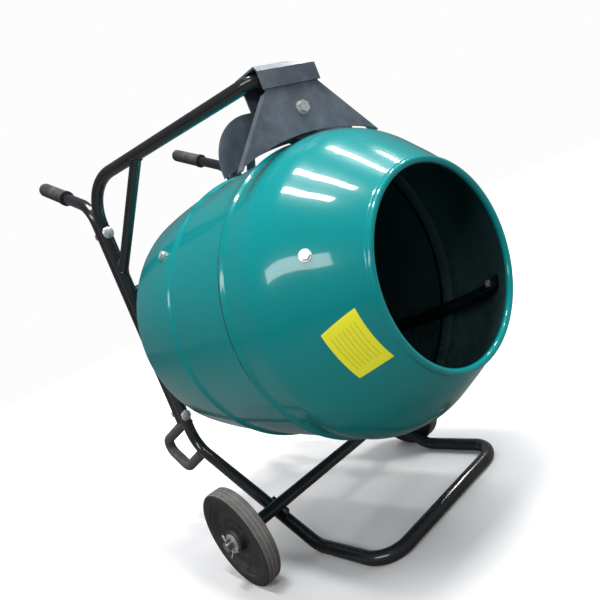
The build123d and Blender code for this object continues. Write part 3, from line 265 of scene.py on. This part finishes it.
def rub_group():
    """Handling marks: thin lines where a stretched noise crosses its middle value, broken into patches."""
    tree, given, out = shader_group(
        "rub",
        [("Scale", "NodeSocketFloat", 40.0), ("Amount", "NodeSocketFloat", 0.3)],
        [("Mask", "NodeSocketFloat")])
    place = add(tree, "ShaderNodeTexCoord").outputs["Object"]
    turned = add(
        tree, "ShaderNodeMapping", [(place, "Vector")], Rotation=(0.5, 0.9, 0.3), Scale=(1.0, 9.0, 3.0))
    line = add(
        tree, "ShaderNodeTexNoise", [(turned.outputs[0], "Vector"), (given.outputs["Scale"], "Scale")],
        Detail=1.0)
    away = add(tree, "ShaderNodeMath", operation="SUBTRACT")
    tree.links.new(line.outputs["Fac"], away.inputs[0])
    away.inputs[1].default_value = 0.5
    size = add(tree, "ShaderNodeMath", operation="ABSOLUTE")
    tree.links.new(away.outputs[0], size.inputs[0])
    thin = ramp(tree, size.outputs[0], 0.012, 0.0)
    patch = add(tree, "ShaderNodeTexNoise", [(place, "Vector")], Scale=14.0, Detail=2.0)
    broken = times(tree, thin, ramp(tree, patch.outputs["Fac"], 0.52, 0.7))
    mask = times(tree, broken, given.outputs["Amount"])
    tree.links.new(mask, out.inputs["Mask"])
    return tree


MOTTLE = mottle_group()
GRAIN = grain_group()
DUST = dust_group()
RUB = rub_group()


def use_group(tree, group, **values):
    node = tree.nodes.new("ShaderNodeGroup")
    node.node_tree = group
    for key, value in values.items():
        socket = node.inputs[key]
        if hasattr(value, "links"):
            tree.links.new(value, socket)
        else:
            socket.default_value = value
    return node


def rgba(colour):
    return (colour[0], colour[1], colour[2], 1.0)


def finish_material(
        name, colour, tone, rough, spread=0.1, metal=0.0, coat=0.0, coat_rough=0.05, cloud_scale=18.0,
        cloud=0.5, grain_scale=400.0, grain=0.04, relief=0.0002, rub=0.0, rub_colour=(0.5, 0.5, 0.5),
        dust=0.0, dust_colour=(0.55, 0.52, 0.47), brushed=0.0, specular=0.5):
    """A finish: mottled colour, then rub marks, then dust; roughness follows the mottle."""
    material = bpy.data.materials.new(name)
    material.use_nodes = True
    tree = material.node_tree
    shader = tree.nodes["Principled BSDF"]
    mottle = use_group(tree, MOTTLE, Colour=rgba(colour), Tone=rgba(tone), Scale=cloud_scale, Amount=cloud)
    colour_now = mottle.outputs["Colour"]
    if rub:
        marks = use_group(tree, RUB, Scale=40.0, Amount=rub).outputs["Mask"]
        colour_now = mixed(tree, marks, colour_now, rgba(rub_colour))
    rough_from = mottle.outputs["Mask"]
    if dust:
        dusty = use_group(tree, DUST, Colour=colour_now, Dust=rgba(dust_colour), Scale=55.0, Amount=dust)
        colour_now = dusty.outputs["Colour"]
    tree.links.new(colour_now, shader.inputs["Base Color"])
    range_node = tree.nodes.new("ShaderNodeMapRange")
    range_node.inputs["To Min"].default_value = rough
    range_node.inputs["To Max"].default_value = rough + spread
    tree.links.new(rough_from, range_node.inputs["Value"])
    tree.links.new(range_node.outputs["Result"], shader.inputs["Roughness"])
    height = use_group(tree, GRAIN, Scale=grain_scale, Swell=0.5).outputs["Height"]
    bump = tree.nodes.new("ShaderNodeBump")
    bump.inputs["Strength"].default_value = grain
    bump.inputs["Distance"].default_value = relief
    tree.links.new(height, bump.inputs["Height"])
    tree.links.new(bump.outputs["Normal"], shader.inputs["Normal"])
    shader.inputs["Metallic"].default_value = metal
    shader.inputs["Specular IOR Level"].default_value = specular
    shader.inputs["Coat Weight"].default_value = coat
    shader.inputs["Coat Roughness"].default_value = coat_rough
    shader.inputs["Anisotropic"].default_value = brushed
    return material


FINISHES = {
    "drum_paint": finish_material(
        "drum_paint", (0.001, 0.295, 0.3), (0.001, 0.26, 0.262), 0.2, 0.07, coat=0.7, coat_rough=0.05,
        cloud_scale=6.0, grain_scale=95.0, grain=0.14, relief=0.001, specular=0.2),
    "drum_inside": finish_material(
        "drum_inside", (0.03, 0.1, 0.107), (0.05, 0.13, 0.138), 0.42, 0.2, cloud_scale=9.0, cloud=0.8,
        grain_scale=180.0, grain=0.3, relief=0.0006, dust=0.12),
    "paddle_paint": finish_material(
        "paddle_paint", (0.004, 0.02, 0.02), (0.01, 0.03, 0.03), 0.42, 0.2, cloud_scale=20.0, grain=0.2,
        rub=0.4, rub_colour=(0.2, 0.2, 0.19)),
    "frame_paint": finish_material(
        "frame_paint", (0.011, 0.0118, 0.0135), (0.021, 0.0225, 0.026), 0.26, 0.1, coat=1.0, coat_rough=0.1,
        cloud_scale=25.0, grain_scale=300.0, grain=0.15, relief=0.0004, rub=0.12,
        rub_colour=(0.2, 0.2, 0.2)),
    # The bracket's pale cloud tone is partly painted highlight: broad light patches stand in for the lamps'
    # soft glints on the satin plate, over the paint's own uneven tone.
    "bracket_paint": finish_material(
        "bracket_paint", (0.085, 0.102, 0.128), (0.19, 0.222, 0.265), 0.28, 0.14, cloud_scale=7.0,
        cloud=0.9, grain_scale=420.0, grain=0.2, relief=0.0003, coat=0.15, coat_rough=0.25),
    "grip_rubber": finish_material(
        "grip_rubber", (0.035, 0.037, 0.042), (0.055, 0.057, 0.06), 0.6, 0.15, cloud_scale=40.0,
        grain_scale=900.0, grain=0.5, relief=0.0003, dust=0.15),
    "sleeve_rubber": finish_material(
        "sleeve_rubber", (0.085, 0.085, 0.088), (0.13, 0.13, 0.13), 0.55, 0.2, cloud_scale=30.0,
        grain_scale=700.0, grain=0.45, relief=0.0003, dust=0.2),
    "tyre_side": finish_material(
        "tyre_side", (0.026, 0.026, 0.028), (0.045, 0.045, 0.047), 0.62, 0.2, cloud_scale=35.0,
        grain_scale=800.0, grain=0.4, relief=0.0003, dust=0.15),
    "tyre_rubber": finish_material(
        "tyre_tread", (0.2, 0.188, 0.18), (0.28, 0.262, 0.25), 0.75, 0.2, cloud_scale=35.0, cloud=0.8,
        grain_scale=800.0, grain=0.6, relief=0.0004, dust=0.3),
    "wheel_plastic": finish_material(
        "wheel_plastic", (0.028, 0.028, 0.031), (0.05, 0.05, 0.052), 0.5, 0.15, cloud_scale=30.0,
        grain_scale=700.0, grain=0.3, relief=0.0003, dust=0.12),
    "zinc": finish_material(
        "zinc", (0.78, 0.78, 0.76), (0.62, 0.63, 0.64), 0.26, 0.16, metal=0.55, cloud_scale=90.0,
        grain_scale=900.0, grain=0.1, relief=0.0001),
    "bare_steel": finish_material(
        "bare_steel", (0.5, 0.5, 0.5), (0.38, 0.37, 0.36), 0.28, 0.18, metal=1.0, cloud_scale=50.0,
        grain_scale=900.0, grain=0.15, relief=0.0001, brushed=0.5),
    "bush_brass": finish_material(
        "bush_brass", (0.62, 0.44, 0.2), (0.45, 0.3, 0.13), 0.3, 0.15, metal=1.0, cloud_scale=60.0,
        grain_scale=900.0, grain=0.1, relief=0.0001, brushed=0.4),
    "cast_aluminium": finish_material(
        "cast_aluminium", (0.4, 0.41, 0.42), (0.3, 0.31, 0.32), 0.45, 0.2, metal=1.0, cloud_scale=30.0,
        grain_scale=500.0, grain=0.5, relief=0.0004, dust=0.15),
    "lamination": finish_material(
        "lamination", (0.12, 0.115, 0.11), (0.18, 0.16, 0.14), 0.5, 0.2, metal=0.8, cloud_scale=60.0,
        grain_scale=900.0, grain=0.4, relief=0.0003),
    "fan_plastic": finish_material(
        "fan_plastic", (0.02, 0.02, 0.022), (0.035, 0.035, 0.037), 0.45, 0.15, cloud_scale=60.0,
        grain_scale=900.0, grain=0.25, relief=0.0002, dust=0.15),
    "box_plastic": finish_material(
        "box_plastic", (0.02, 0.021, 0.024), (0.032, 0.033, 0.036), 0.32, 0.12, cloud_scale=40.0,
        grain_scale=1100.0, grain=0.25, relief=0.0002, dust=0.1),
    "start_green": finish_material(
        "start_green", (0.01, 0.26, 0.05), (0.01, 0.2, 0.04), 0.25, 0.1, coat=0.3, cloud_scale=80.0,
        grain=0.1),
    "stop_red": finish_material(
        "stop_red", (0.5, 0.012, 0.012), (0.4, 0.01, 0.01), 0.25, 0.1, coat=0.3, cloud_scale=80.0,
        grain=0.1),
    "sealant": finish_material(
        "sealant", (0.008, 0.016, 0.016), (0.04, 0.06, 0.06), 0.5, 0.25, cloud_scale=70.0, cloud=0.9,
        grain_scale=500.0, grain=0.6, relief=0.0006),
}


def label_material():
    """Yellow film with plain grey bars, drawn from the piece's own UV map."""
    material = bpy.data.materials.new("label_film")
    material.use_nodes = True
    tree = material.node_tree
    shader = tree.nodes["Principled BSDF"]
    film = use_group(
        tree, MOTTLE, Colour=(1.0, 0.97, 0.03, 1), Tone=(0.93, 0.9, 0.04, 1), Scale=60.0, Amount=0.5)
    base = film.outputs["Colour"]
    flat = add(tree, "ShaderNodeUVMap")
    parts = add(tree, "ShaderNodeSeparateXYZ", [(flat.outputs["UV"], "Vector")])

    def band(source, low, high):
        above = add(tree, "ShaderNodeMath", operation="GREATER_THAN")
        tree.links.new(source, above.inputs[0])
        above.inputs[1].default_value = low
        below = add(tree, "ShaderNodeMath", operation="LESS_THAN")
        tree.links.new(source, below.inputs[0])
        below.inputs[1].default_value = high
        return times(tree, above.outputs[0], below.outputs[0])

    rows = times(tree, parts.outputs["Y"], 9.0)
    fraction = add(tree, "ShaderNodeMath", operation="FRACT")
    tree.links.new(rows, fraction.inputs[0])
    bars = times(tree, band(fraction.outputs[0], 0.36, 0.58), band(parts.outputs["Y"], 0.11, 0.89))
    bars = times(tree, bars, band(parts.outputs["X"], 0.16, 0.84))
    colour = mixed(tree, times(tree, bars, 0.45), base, (0.2, 0.22, 0.06, 1))
    tree.links.new(colour, shader.inputs["Base Color"])
    # The film glows faintly with its own colour: a painted glow that brightens the yellow, though the label
    # is no lamp.
    tree.links.new(colour, shader.inputs["Emission Color"])
    shader.inputs["Emission Strength"].default_value = 0.12
    shader.inputs["Roughness"].default_value = 0.4
    return material


# --- CAD nodes keep their meshes and take their slot's finish ---
def paint_cad_nodes():
    for entry in frame["record"]["subparts"]:
        node = frame["nodes"][entry["node"]]
        finish = FINISHES.get(entry["material_slot"])
        if finish is None:
            continue
        if not node.material_slots:
            node.data.materials.append(finish)
        for held in node.material_slots:
            held.material = finish


# --- drum ---
def bump_line(s, middle):
    """Height of a rolled bead: a squared cosine over the bead's width."""
    u = np.clip((s - middle) / BEAD_HALF, -1.0, 1.0)
    return BEAD_H * np.cos(u * pi / 2) ** 2


def inset(line, wall):
    """A line moved inwards, square to itself."""
    step = np.gradient(line, axis=0)
    step /= np.linalg.norm(step, axis=1)[:, None]
    return line + wall * np.stack([step[:, 1], -step[:, 0]], axis=1)


def front_cone(count=72):
    start = (RIM_R + 2.0, MOUTH_R - 1.2)
    return hermite([start, CONE_MID, SHOULDER, (BARREL_S, BARREL_R)], (1.0, 0.92), (1.0, 0.0), count)


def front_profile():
    """Closed (s, r) line of the front half: inside forward to the rim, round its roll, outside back."""
    cone = front_cone()
    inner_cone = inset(cone, FRONT_WALL)[3:]
    bead_s = np.linspace(BARREL_S + 8, SEAM_S - 1.5, 40)
    outer_bead = np.stack([bead_s, BARREL_R + bump_line(bead_s, FRONT_BEAD_S)], axis=1)
    inner_bead = np.stack([bead_s, BARREL_R - FRONT_WALL + 0.45 * bump_line(bead_s, FRONT_BEAD_S)], axis=1)
    lip = np.array([
        (SEAM_S - 0.4, BARREL_R - 0.3), (SEAM_S, BARREL_R - 1.0), (SEAM_S, BARREL_R - FRONT_WALL)])
    turn = np.radians(np.linspace(0.0, -293.0, 40))
    roll = np.stack([RIM_R + RIM_R * np.cos(turn), MOUTH_R - RIM_R + RIM_R * np.sin(turn)], axis=1)
    inside = np.concatenate([inner_bead[::-1], inner_cone[::-1]])
    outside = np.concatenate([cone[1:], outer_bead, lip])
    return inside, roll, outside


def rear_r(s):
    """Radius of the rear half's outside: straight to the rear bead, then drawn in as a square law."""
    flat = BARREL_R + (REAR_BASE_R - BARREL_R) * (s - FRONT_BEAD_S) / (REAR_BEAD_S - FRONT_BEAD_S)
    drawn = REAR_BASE_R + (BACK_EDGE_R - REAR_BASE_R) * ((s - REAR_BEAD_S) / (BACK_S - REAR_BEAD_S)) ** 2
    return np.where(s <= REAR_BEAD_S, flat, drawn)


def rear_profile():
    """Closed (s, r) line of the rear half: outside back to the hub hole, then the inside forward."""
    edge_s = BACK_S - BACK_CORNER
    wall_s = np.linspace(SEAM_S + 0.3, edge_s, 150)
    wall_r = rear_r(wall_s) + bump_line(wall_s, REAR_BEAD_S)
    barrel = np.stack([wall_s, wall_r], axis=1)
    flat_r = float(rear_r(np.array(edge_s))) - BACK_CORNER
    slope = barrel[-1] - barrel[-2]
    corner = hermite([barrel[-1], (BACK_S, flat_r)], slope, (0.0, -1.0), 24)
    disc = np.stack([np.full(10, BACK_S), np.linspace(flat_r - 8, SHAFT_R, 10)], axis=1)
    outside = np.concatenate([barrel, corner[1:], disc])
    inner_wall_r = rear_r(wall_s) - REAR_WALL + 0.6 * bump_line(wall_s, REAR_BEAD_S)
    inner_wall = np.stack([wall_s, inner_wall_r], axis=1)
    spigot = np.clip((wall_s - SEAM_S) / 20.0, 0.0, 1.0)
    inner_wall[:, 1] -= 2.6 * (1.0 - spigot)
    inner_corner = hermite(
        [(BACK_S - REAR_WALL, flat_r), (edge_s, barrel[-1][1] - REAR_WALL)], (0.0, 1.0), -slope, 24)
    inner_disc = np.stack([np.full(10, BACK_S - REAR_WALL), np.linspace(SHAFT_R, flat_r - 8, 10)], axis=1)
    lap_s = FRONT_BEAD_S - SPIGOT_LAP
    lap = np.array([(lap_s, SPIGOT_R - 1.7), (lap_s, SPIGOT_R), (SEAM_S + 0.3, SPIGOT_R)])
    inside = np.concatenate([inner_disc, inner_corner, inner_wall[::-1][1:], lap])
    return outside, inside


def make_drum():
    inside, roll, outside = front_profile()
    profile = np.concatenate([inside, roll, outside])
    quads = grid_faces(len(profile), AROUND, True, True)
    row = quads[:, 0] // AROUND
    dark = (row < len(inside)).astype(int)
    shell = mesh_piece(
        "front_shell", lathe(profile, AROUND, on_drum), quads[:, ::-1],
        [FINISHES["drum_paint"], FINISHES["drum_inside"]], "drum", dark)
    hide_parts("drum_front_shell")
    outside, inside = rear_profile()
    profile = np.concatenate([outside, inside])
    quads = grid_faces(len(profile), AROUND, True, True)
    row = quads[:, 0] // AROUND
    dark = (row >= len(outside)).astype(int)
    shell = mesh_piece(
        "rear_shell", lathe(profile, AROUND, on_drum), quads[:, ::-1],
        [FINISHES["drum_paint"], FINISHES["drum_inside"]], "drum", dark)
    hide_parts("drum_rear_shell")


def wandering(turn, least, orders):
    """Summed sines round a ring, each of a random size over the root of its order, at a random phase."""
    return sum(rng.uniform(least, 1.0) / k**0.5 * np.sin(k * turn + rng.uniform(0, 6.3)) for k in orders)


def make_sealant():
    """A squeezed bead in the joint step: a tube whose width, height and place wander round the drum."""
    around, ring = 720, 10
    turn = np.linspace(0.0, 2 * pi, around, endpoint=False)
    wander = wandering(turn, 0.2, (5, 9, 17, 31, 53, 88))
    lumps = wandering(turn, 0.3, (7, 13, 29, 47, 71))
    half_w = 1.5 + 0.45 * wander
    half_h = 1.1 + 0.4 * lumps
    phi = np.linspace(0.0, 2 * pi, ring, endpoint=False)
    s = SEAM_S + 0.9 + 0.35 * lumps[:, None] + half_w[:, None] * np.cos(phi)[None, :]
    r = BARREL_R - 0.1 + half_h[:, None] * np.sin(phi)[None, :]
    points = on_drum(s, r, turn[:, None] + 0 * s)
    bead = mesh_piece(
        "joint_sealant", points, grid_faces(around, ring, True, True), [FINISHES["sealant"]], "drum")
    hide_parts("drum_seam")


# --- label ---
LABEL_FROM = 25.5
LABEL_LENGTH = 45.5
LABEL_SKEW = 10.6              # stuck on askew: how much further back one end lies
LABEL_TURN = -11.0
LABEL_DRIFT = -2.7             # degrees of turn from the front edge to the back edge
LABEL_SPAN = 27.8
LABEL_TAPER = 6.0              # the back edge spans fewer degrees, because the cone is wider there
LABEL_LIFT = 0.35


def cone_r(s):
    line = front_cone(400)
    return np.interp(s, line[:, 0], line[:, 1])


def make_label():
    """A film on the front cone: a (u, v) grid on the cone's line, lifted inside its edges."""
    rows, columns = 25, 33
    v, u = np.meshgrid(np.linspace(0, 1, rows), np.linspace(0, 1, columns), indexing="ij")
    s = LABEL_FROM + v * LABEL_LENGTH + LABEL_SKEW * (u - 0.5)
    angle = LABEL_TURN + LABEL_DRIFT * v + (u - 0.5) * (LABEL_SPAN - LABEL_TAPER * v)
    edge = np.maximum(np.abs(u - 0.5), np.abs(v - 0.5)) * 2
    lift = LABEL_LIFT * np.clip((1.0 - edge) * 16, 0.0, 1.0) ** 0.5 + 0.12
    points = on_drum(s, cone_r(s) + lift, np.radians(angle))
    quads = grid_faces(rows, columns, False, False)
    uv = np.stack([u.ravel(), v.ravel()], axis=1)
    film = mesh_piece("label_film", points, quads, [label_material()], "drum", uv=uv)
    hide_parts("label")


# --- weld beads on the frame ---
ROW_SHIFT = np.array((-27.047, 29.034, 0.0))
TUBE_R = 12.7
BRACE_R = 11.0
HALF_WIDTH = 197.0
MAST_FOOT = (-255.0, 234.0)    # bends of an upright, as (x, z)
MAST_HEAD = (-184.5, 874.0)
ARM_END = (306.0, 60.0, 845.0)
BRACE_FOOT_Z = 671.0
BRACE_HEAD_SHARE = 0.36
BUTT_Z = 292.0                 # where the stand's tube and the upright's meet end to end
HANDLE_BACK = 25.55            # the handle tube lies this far behind the upright
CROSSBAR_H = 140.0
BEAD_R = 2.4
WELD_STEPS = 96
WELD_SIDES = 8
WELD_RIPPLES = 26


def weld_ripple(turn, waves):
    """Bead thickness round a weld: close ripples over a slower swell."""
    return 1.0 + 0.12 * np.sin(waves * turn) + 0.15 * np.sin(3 * turn + rng.uniform(0, 6.3))


def weld_ring(line, across, turn):
    """A tube along a closed line: circles spanned by the outward direction and its cross with the run."""
    run = np.roll(line, -1, axis=0) - np.roll(line, 1, axis=0)
    run /= np.linalg.norm(run, axis=1)[:, None]
    side = np.cross(run, across)
    phi = np.linspace(0.0, 2 * pi, WELD_SIDES, endpoint=False)
    size = BEAD_R * weld_ripple(turn, WELD_RIPPLES)[:, None, None]
    wide = np.cos(phi)[None, :, None] * across[:, None, :] + np.sin(phi)[None, :, None] * side[:, None, :]
    return (line[:, None, :] + size * wide + ROW_SHIFT) * MM


def coped_line(root, along, branch_r, trunk, trunk_along, trunk_r, turn):
    """Where a branch tube's surface leaves a trunk's: the outer root of each line's quadratic."""
    along = along / np.linalg.norm(along)
    trunk_along = trunk_along / np.linalg.norm(trunk_along)
    first = np.cross(along, trunk_along)
    first /= np.linalg.norm(first)
    second = np.cross(along, first)
    across = np.cos(turn)[:, None] * first + np.sin(turn)[:, None] * second
    start = root + branch_r * across - trunk
    start_flat = start - (start @ trunk_along)[:, None] * trunk_along
    along_flat = along - (along @ trunk_along) * trunk_along
    a = along_flat @ along_flat
    b = start_flat @ along_flat
    c = (start_flat**2).sum(axis=1) - trunk_r**2
    reach = (-b + np.sqrt(np.maximum(b**2 - a * c, 0.0))) / a
    return trunk + start + reach[:, None] * along, across


def make_welds():
    """Beads at the braces' ends, the crossbars' ends and the butt joints of stand and uprights."""
    turn = np.linspace(0.0, 2 * pi, WELD_STEPS, endpoint=False)
    rise = np.array((MAST_HEAD[0] - MAST_FOOT[0], 0.0, MAST_HEAD[1] - MAST_FOOT[1]))
    rings = []
    for way in (-1.0, 1.0):
        foot = np.array((MAST_FOOT[0], way * HALF_WIDTH, MAST_FOOT[1]))
        head = np.array((MAST_HEAD[0], way * HALF_WIDTH, MAST_HEAD[1]))
        arm = np.array((ARM_END[0], way * ARM_END[1], ARM_END[2])) - head
        brace_foot = foot + rise * (BRACE_FOOT_Z - MAST_FOOT[1]) / rise[2]
        brace_head = head + arm * BRACE_HEAD_SHARE
        brace = brace_head - brace_foot
        rings.append(coped_line(brace_foot, brace, BRACE_R, foot, rise, TUBE_R, turn))
        rings.append(coped_line(brace_head, -brace, BRACE_R, head, arm, TUBE_R, turn))
        handle = foot - np.array((HANDLE_BACK, 0.0, 0.0))
        drum_line = (MOUTH / MM - ROW_SHIFT)[None, :] + CROSSBAR_H * np.array((-1.0, 1.0))[:, None] * UP
        for start in drum_line:
            back = ((start - handle) @ np.cross(rise, LEFT)) / (AXIS @ np.cross(rise, LEFT))
            root = start - back * AXIS
            root[1] = handle[1]
            rings.append(coped_line(root, -way * LEFT, TUBE_R, handle, rise, TUBE_R, turn))
        butt = foot + rise * (BUTT_Z - MAST_FOOT[1]) / rise[2]
        unit = rise / np.linalg.norm(rise)
        across = np.cos(turn)[:, None] * LEFT + np.sin(turn)[:, None] * np.cross(unit, LEFT)
        rings.append((butt + (TUBE_R - 1.2) * across, across))
    points = np.stack([weld_ring(line, across, turn) for line, across in rings])
    one = grid_faces(WELD_STEPS, WELD_SIDES, True, True)
    quads = np.concatenate([one + k * WELD_STEPS * WELD_SIDES for k in range(len(rings))])
    beads = mesh_piece("weld_beads", points, quads, [FINISHES["frame_paint"]], "frame")


# --- wheels ---
TYRE_R = 100.0
TYRE_HALF = 16.0
TYRE_INNER = 74.0
GROOVES = (-11.0, -7.5, 0.0, 7.5, 11.0)
TREAD_HALF = 14.2
HUB_R = 24.0
HUB_HALF = 18.0
BUSH_R = 14.0


def tyre_line():
    """Closed (across, radius) line of the tyre: a crowned, grooved tread, round shoulders, flat sides."""
    across = np.linspace(-TYRE_HALF, TYRE_HALF, 161)
    shoulder = np.clip((np.abs(across) / TYRE_HALF - 0.72) / 0.28, 0.0, 1.0)
    tread = TYRE_R - 0.25 * (across / TYRE_HALF) ** 2 - 5.0 * (1.0 - np.sqrt(1.0 - shoulder**2 * 0.999))
    for middle in GROOVES:
        tread = tread - 2.2 * np.exp(-(((across - middle) / 1.1) ** 4))
    inner = np.array([
        (TYRE_HALF, TYRE_INNER + 3), (TYRE_HALF - 2, TYRE_INNER), (-TYRE_HALF + 2, TYRE_INNER),
        (-TYRE_HALF, TYRE_INNER + 3)])
    return np.concatenate([np.stack([across, tread], axis=1), inner])


def disc_line():
    """Closed (outwards, radius) line of the disc: rim, stepped and dished web, hub round the bush."""
    half = TYRE_HALF
    return np.array([
        (half - 2, TYRE_INNER), (half - 2, 71.5), (half - 2.6, 70.2), (7.4, 62.8), (6.4, 61.6), (6.0, 60.0),
        (6.0, 44.0), (5.6, 42.6), (4.8, 41.6), (2.6, 35.4), (2.0, 33.8), (2.0, 26.0), (2.6, 24.6),
        (3.6, HUB_R), (HUB_HALF - 1.4, HUB_R - 0.4), (HUB_HALF - 0.4, HUB_R - 1.0),
        (HUB_HALF, HUB_R - 2.2), (HUB_HALF, BUSH_R),
        (-HUB_HALF, BUSH_R), (-HUB_HALF, HUB_R - 2.2), (-HUB_HALF + 0.6, HUB_R - 0.8), (-6.4, HUB_R),
        (-5.4, 25.0), (-5.0, 26.4), (-5.0, 58.6), (-5.6, 60.0), (-12.6, 69.0), (-half + 2, 70.6),
        (-half + 2, TYRE_INNER)])


def closed_line(line, turns):
    """A line's corners kept and its straight runs divided, so shading stays crisp there."""
    following = np.roll(line, -1, axis=0)
    share = np.linspace(0.0, 1.0, turns, endpoint=False)
    return (line[:, None] + (following - line)[:, None] * share[None, :, None]).reshape(-1, 2)


def make_wheels():
    for word, side in (("left", 1.0), ("right", -1.0)):
        joint = joints["wheel_%s_spin" % word]
        centre = np.array(joint["pos_m"], float)

        def place(across, radius, angle):
            across, radius, angle = np.broadcast_arrays(across, radius, angle)
            out = centre + (side * across * MM)[..., None] * LEFT
            spoke = np.stack([np.cos(angle), 0 * angle, side * np.sin(angle)], axis=-1)
            return out + (radius * MM)[..., None] * spoke

        for piece_name, line, slot, edge in (
                ("tyre", tyre_line(), "tyre_rubber", "tyre_side"),
                ("disc", closed_line(disc_line(), 3), "wheel_plastic", "wheel_plastic")):
            quads = grid_faces(len(line), 128, True, True)
            if piece_name == "tyre":
                quads = quads[:, ::-1]
            # The tread takes a grey rubber finish, and the faces beyond its width take a near-black one.
            beyond_tread = np.abs(line[quads.min(axis=1) // 128, 0]) > TREAD_HALF
            ring = mesh_piece(
                "wheel_%s_%s_surface" % (piece_name, word), lathe(line, 128, place), quads,
                [FINISHES[slot], FINISHES[edge]], "wheel_" + word, beyond_tread)
            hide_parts("wheel_%s_%s" % (piece_name, word))


# --- camera, floor and light ---
CAMERA_AT = Vector((0.98255, -0.67287, 0.5692))
CAMERA_RIGHT = Vector((0.584, 0.701, -0.408))
CAMERA_UP = Vector((0.183, 0.377, 0.908))
AMBIENT = 0.42
MIRRORED = 0.14                # how bright the room looks in glossy paint
FLOOR_BOUNCE = (0.17, 0.17, 0.17, 1.0)
BACKDROP = (0.98, 0.98, 0.98, 1.0)
FLOOR_GLOW = (0.68, 0.68, 0.68, 1.0)
FLOOR_FADE = (0.6, 2.0)        # metres from the machine over which the floor turns white
STRIP_X = 0.85
STRIP_Z = 3.45
STRIP_Y = (-0.45, 0.27, 1.7, 2.9)
STRIP_LENGTH = 1.3


def make_camera():
    data = bpy.data.cameras.new("camera")
    camera = bpy.data.objects.new("camera", data)
    bpy.context.scene.collection.objects.link(camera)
    back = CAMERA_RIGHT.cross(CAMERA_UP).normalized()
    right = CAMERA_RIGHT.normalized()
    up = back.cross(right)
    camera.matrix_world = Matrix.Translation(CAMERA_AT) @ Matrix((right, up, back)).transposed().to_4x4()
    data.lens = 33.52
    data.sensor_width = 36.0
    data.clip_start = 0.01
    bpy.context.scene.camera = camera


def floor_material():
    """Pale, faintly mottled paint that throws back little light, and glows white far from the machine."""
    material = finish_material(
        "floor_paint", (0.88, 0.88, 0.88), (0.85, 0.85, 0.85), 0.8, 0.1, cloud_scale=1.0, grain=0.0)
    tree = material.node_tree
    shader = tree.nodes["Principled BSDF"]
    pale = shader.inputs["Base Color"].links[0].from_socket
    seen = tree.nodes.new("ShaderNodeLightPath").outputs["Is Camera Ray"]
    tree.links.new(mixed(tree, seen, FLOOR_BOUNCE, pale), shader.inputs["Base Color"])
    place = add(tree, "ShaderNodeTexCoord").outputs["Object"]
    away = add(tree, "ShaderNodeVectorMath", [(place, 0)], operation="LENGTH")
    far = ramp(tree, away.outputs["Value"], *FLOOR_FADE)
    glow = mixed(tree, times(tree, far, seen), (0.0, 0.0, 0.0, 1.0), FLOOR_GLOW)
    tree.links.new(glow, shader.inputs["Emission Color"])
    shader.inputs["Emission Strength"].default_value = 1.0
    shader.inputs["Specular IOR Level"].default_value = 0.1
    return material


def make_floor():
    """A wide flat floor."""
    half = 12.0
    side = np.linspace(-half, half, 9)
    x, y = np.meshgrid(side, side, indexing="ij")
    points = np.stack([x, y, 0 * x], axis=-1)
    mesh = bpy.data.meshes.new("floor")
    mesh.from_pydata(points.reshape(-1, 3).tolist(), [], grid_faces(9, 9, False, False).tolist())
    floor = bpy.data.objects.new("floor", mesh)
    bpy.context.scene.collection.objects.link(floor)
    mesh.materials.append(floor_material())


def area_light(name, at, towards, size, power):
    """A rectangular lamp of (width, height) aimed at a point; the power is in watts."""
    data = bpy.data.lights.new(name, "AREA")
    data.shape = "RECTANGLE"
    data.size, data.size_y = size
    data.energy = power
    lamp = bpy.data.objects.new(name, data)
    bpy.context.scene.collection.objects.link(lamp)
    lamp.location = at
    lamp.rotation_euler = (Vector(towards) - Vector(at)).to_track_quat("-Z", "Y").to_euler()
    return lamp


def make_light():
    world = bpy.data.worlds.new("studio")
    bpy.context.scene.world = world
    world.use_nodes = True
    tree = world.node_tree
    background = tree.nodes["Background"]
    path = tree.nodes.new("ShaderNodeLightPath")
    room = mixed(
        tree, path.outputs["Is Glossy Ray"], (AMBIENT, AMBIENT, AMBIENT * 1.04, 1.0),
        (MIRRORED, MIRRORED, MIRRORED * 1.1, 1.0))
    behind = mixed(tree, path.outputs["Is Camera Ray"], room, BACKDROP)
    tree.links.new(behind, background.inputs["Color"])
    for index, y in enumerate(STRIP_Y):
        strip = area_light(
            "ceiling_strip_%d" % index, (STRIP_X, y, STRIP_Z), (STRIP_X, y, 0.0), (STRIP_LENGTH, 0.2), 42.0)
        strip.rotation_euler = (0.0, 0.0, 0.0)
    aim = (0.1, 0.0, 0.45)
    area_light("window_softbox", (1.0, -2.6, 2.05), aim, (2.2, 0.5), 28.0)
    for name, at, size, power in (
            ("rear_softbox", (-2.4, 0.8, 2.4), (1.8, 1.2), 40.0),
            ("fill_softbox", (2.4, 1.6, 1.0), (1.0, 1.0), 12.0)):
        area_light(name, at, aim, size, power).visible_glossy = False


paint_cad_nodes()
make_drum()
make_sealant()
make_label()
make_welds()
make_wheels()
make_camera()
make_floor()
make_light()

bpy.context.scene.view_settings.view_transform = "Standard"
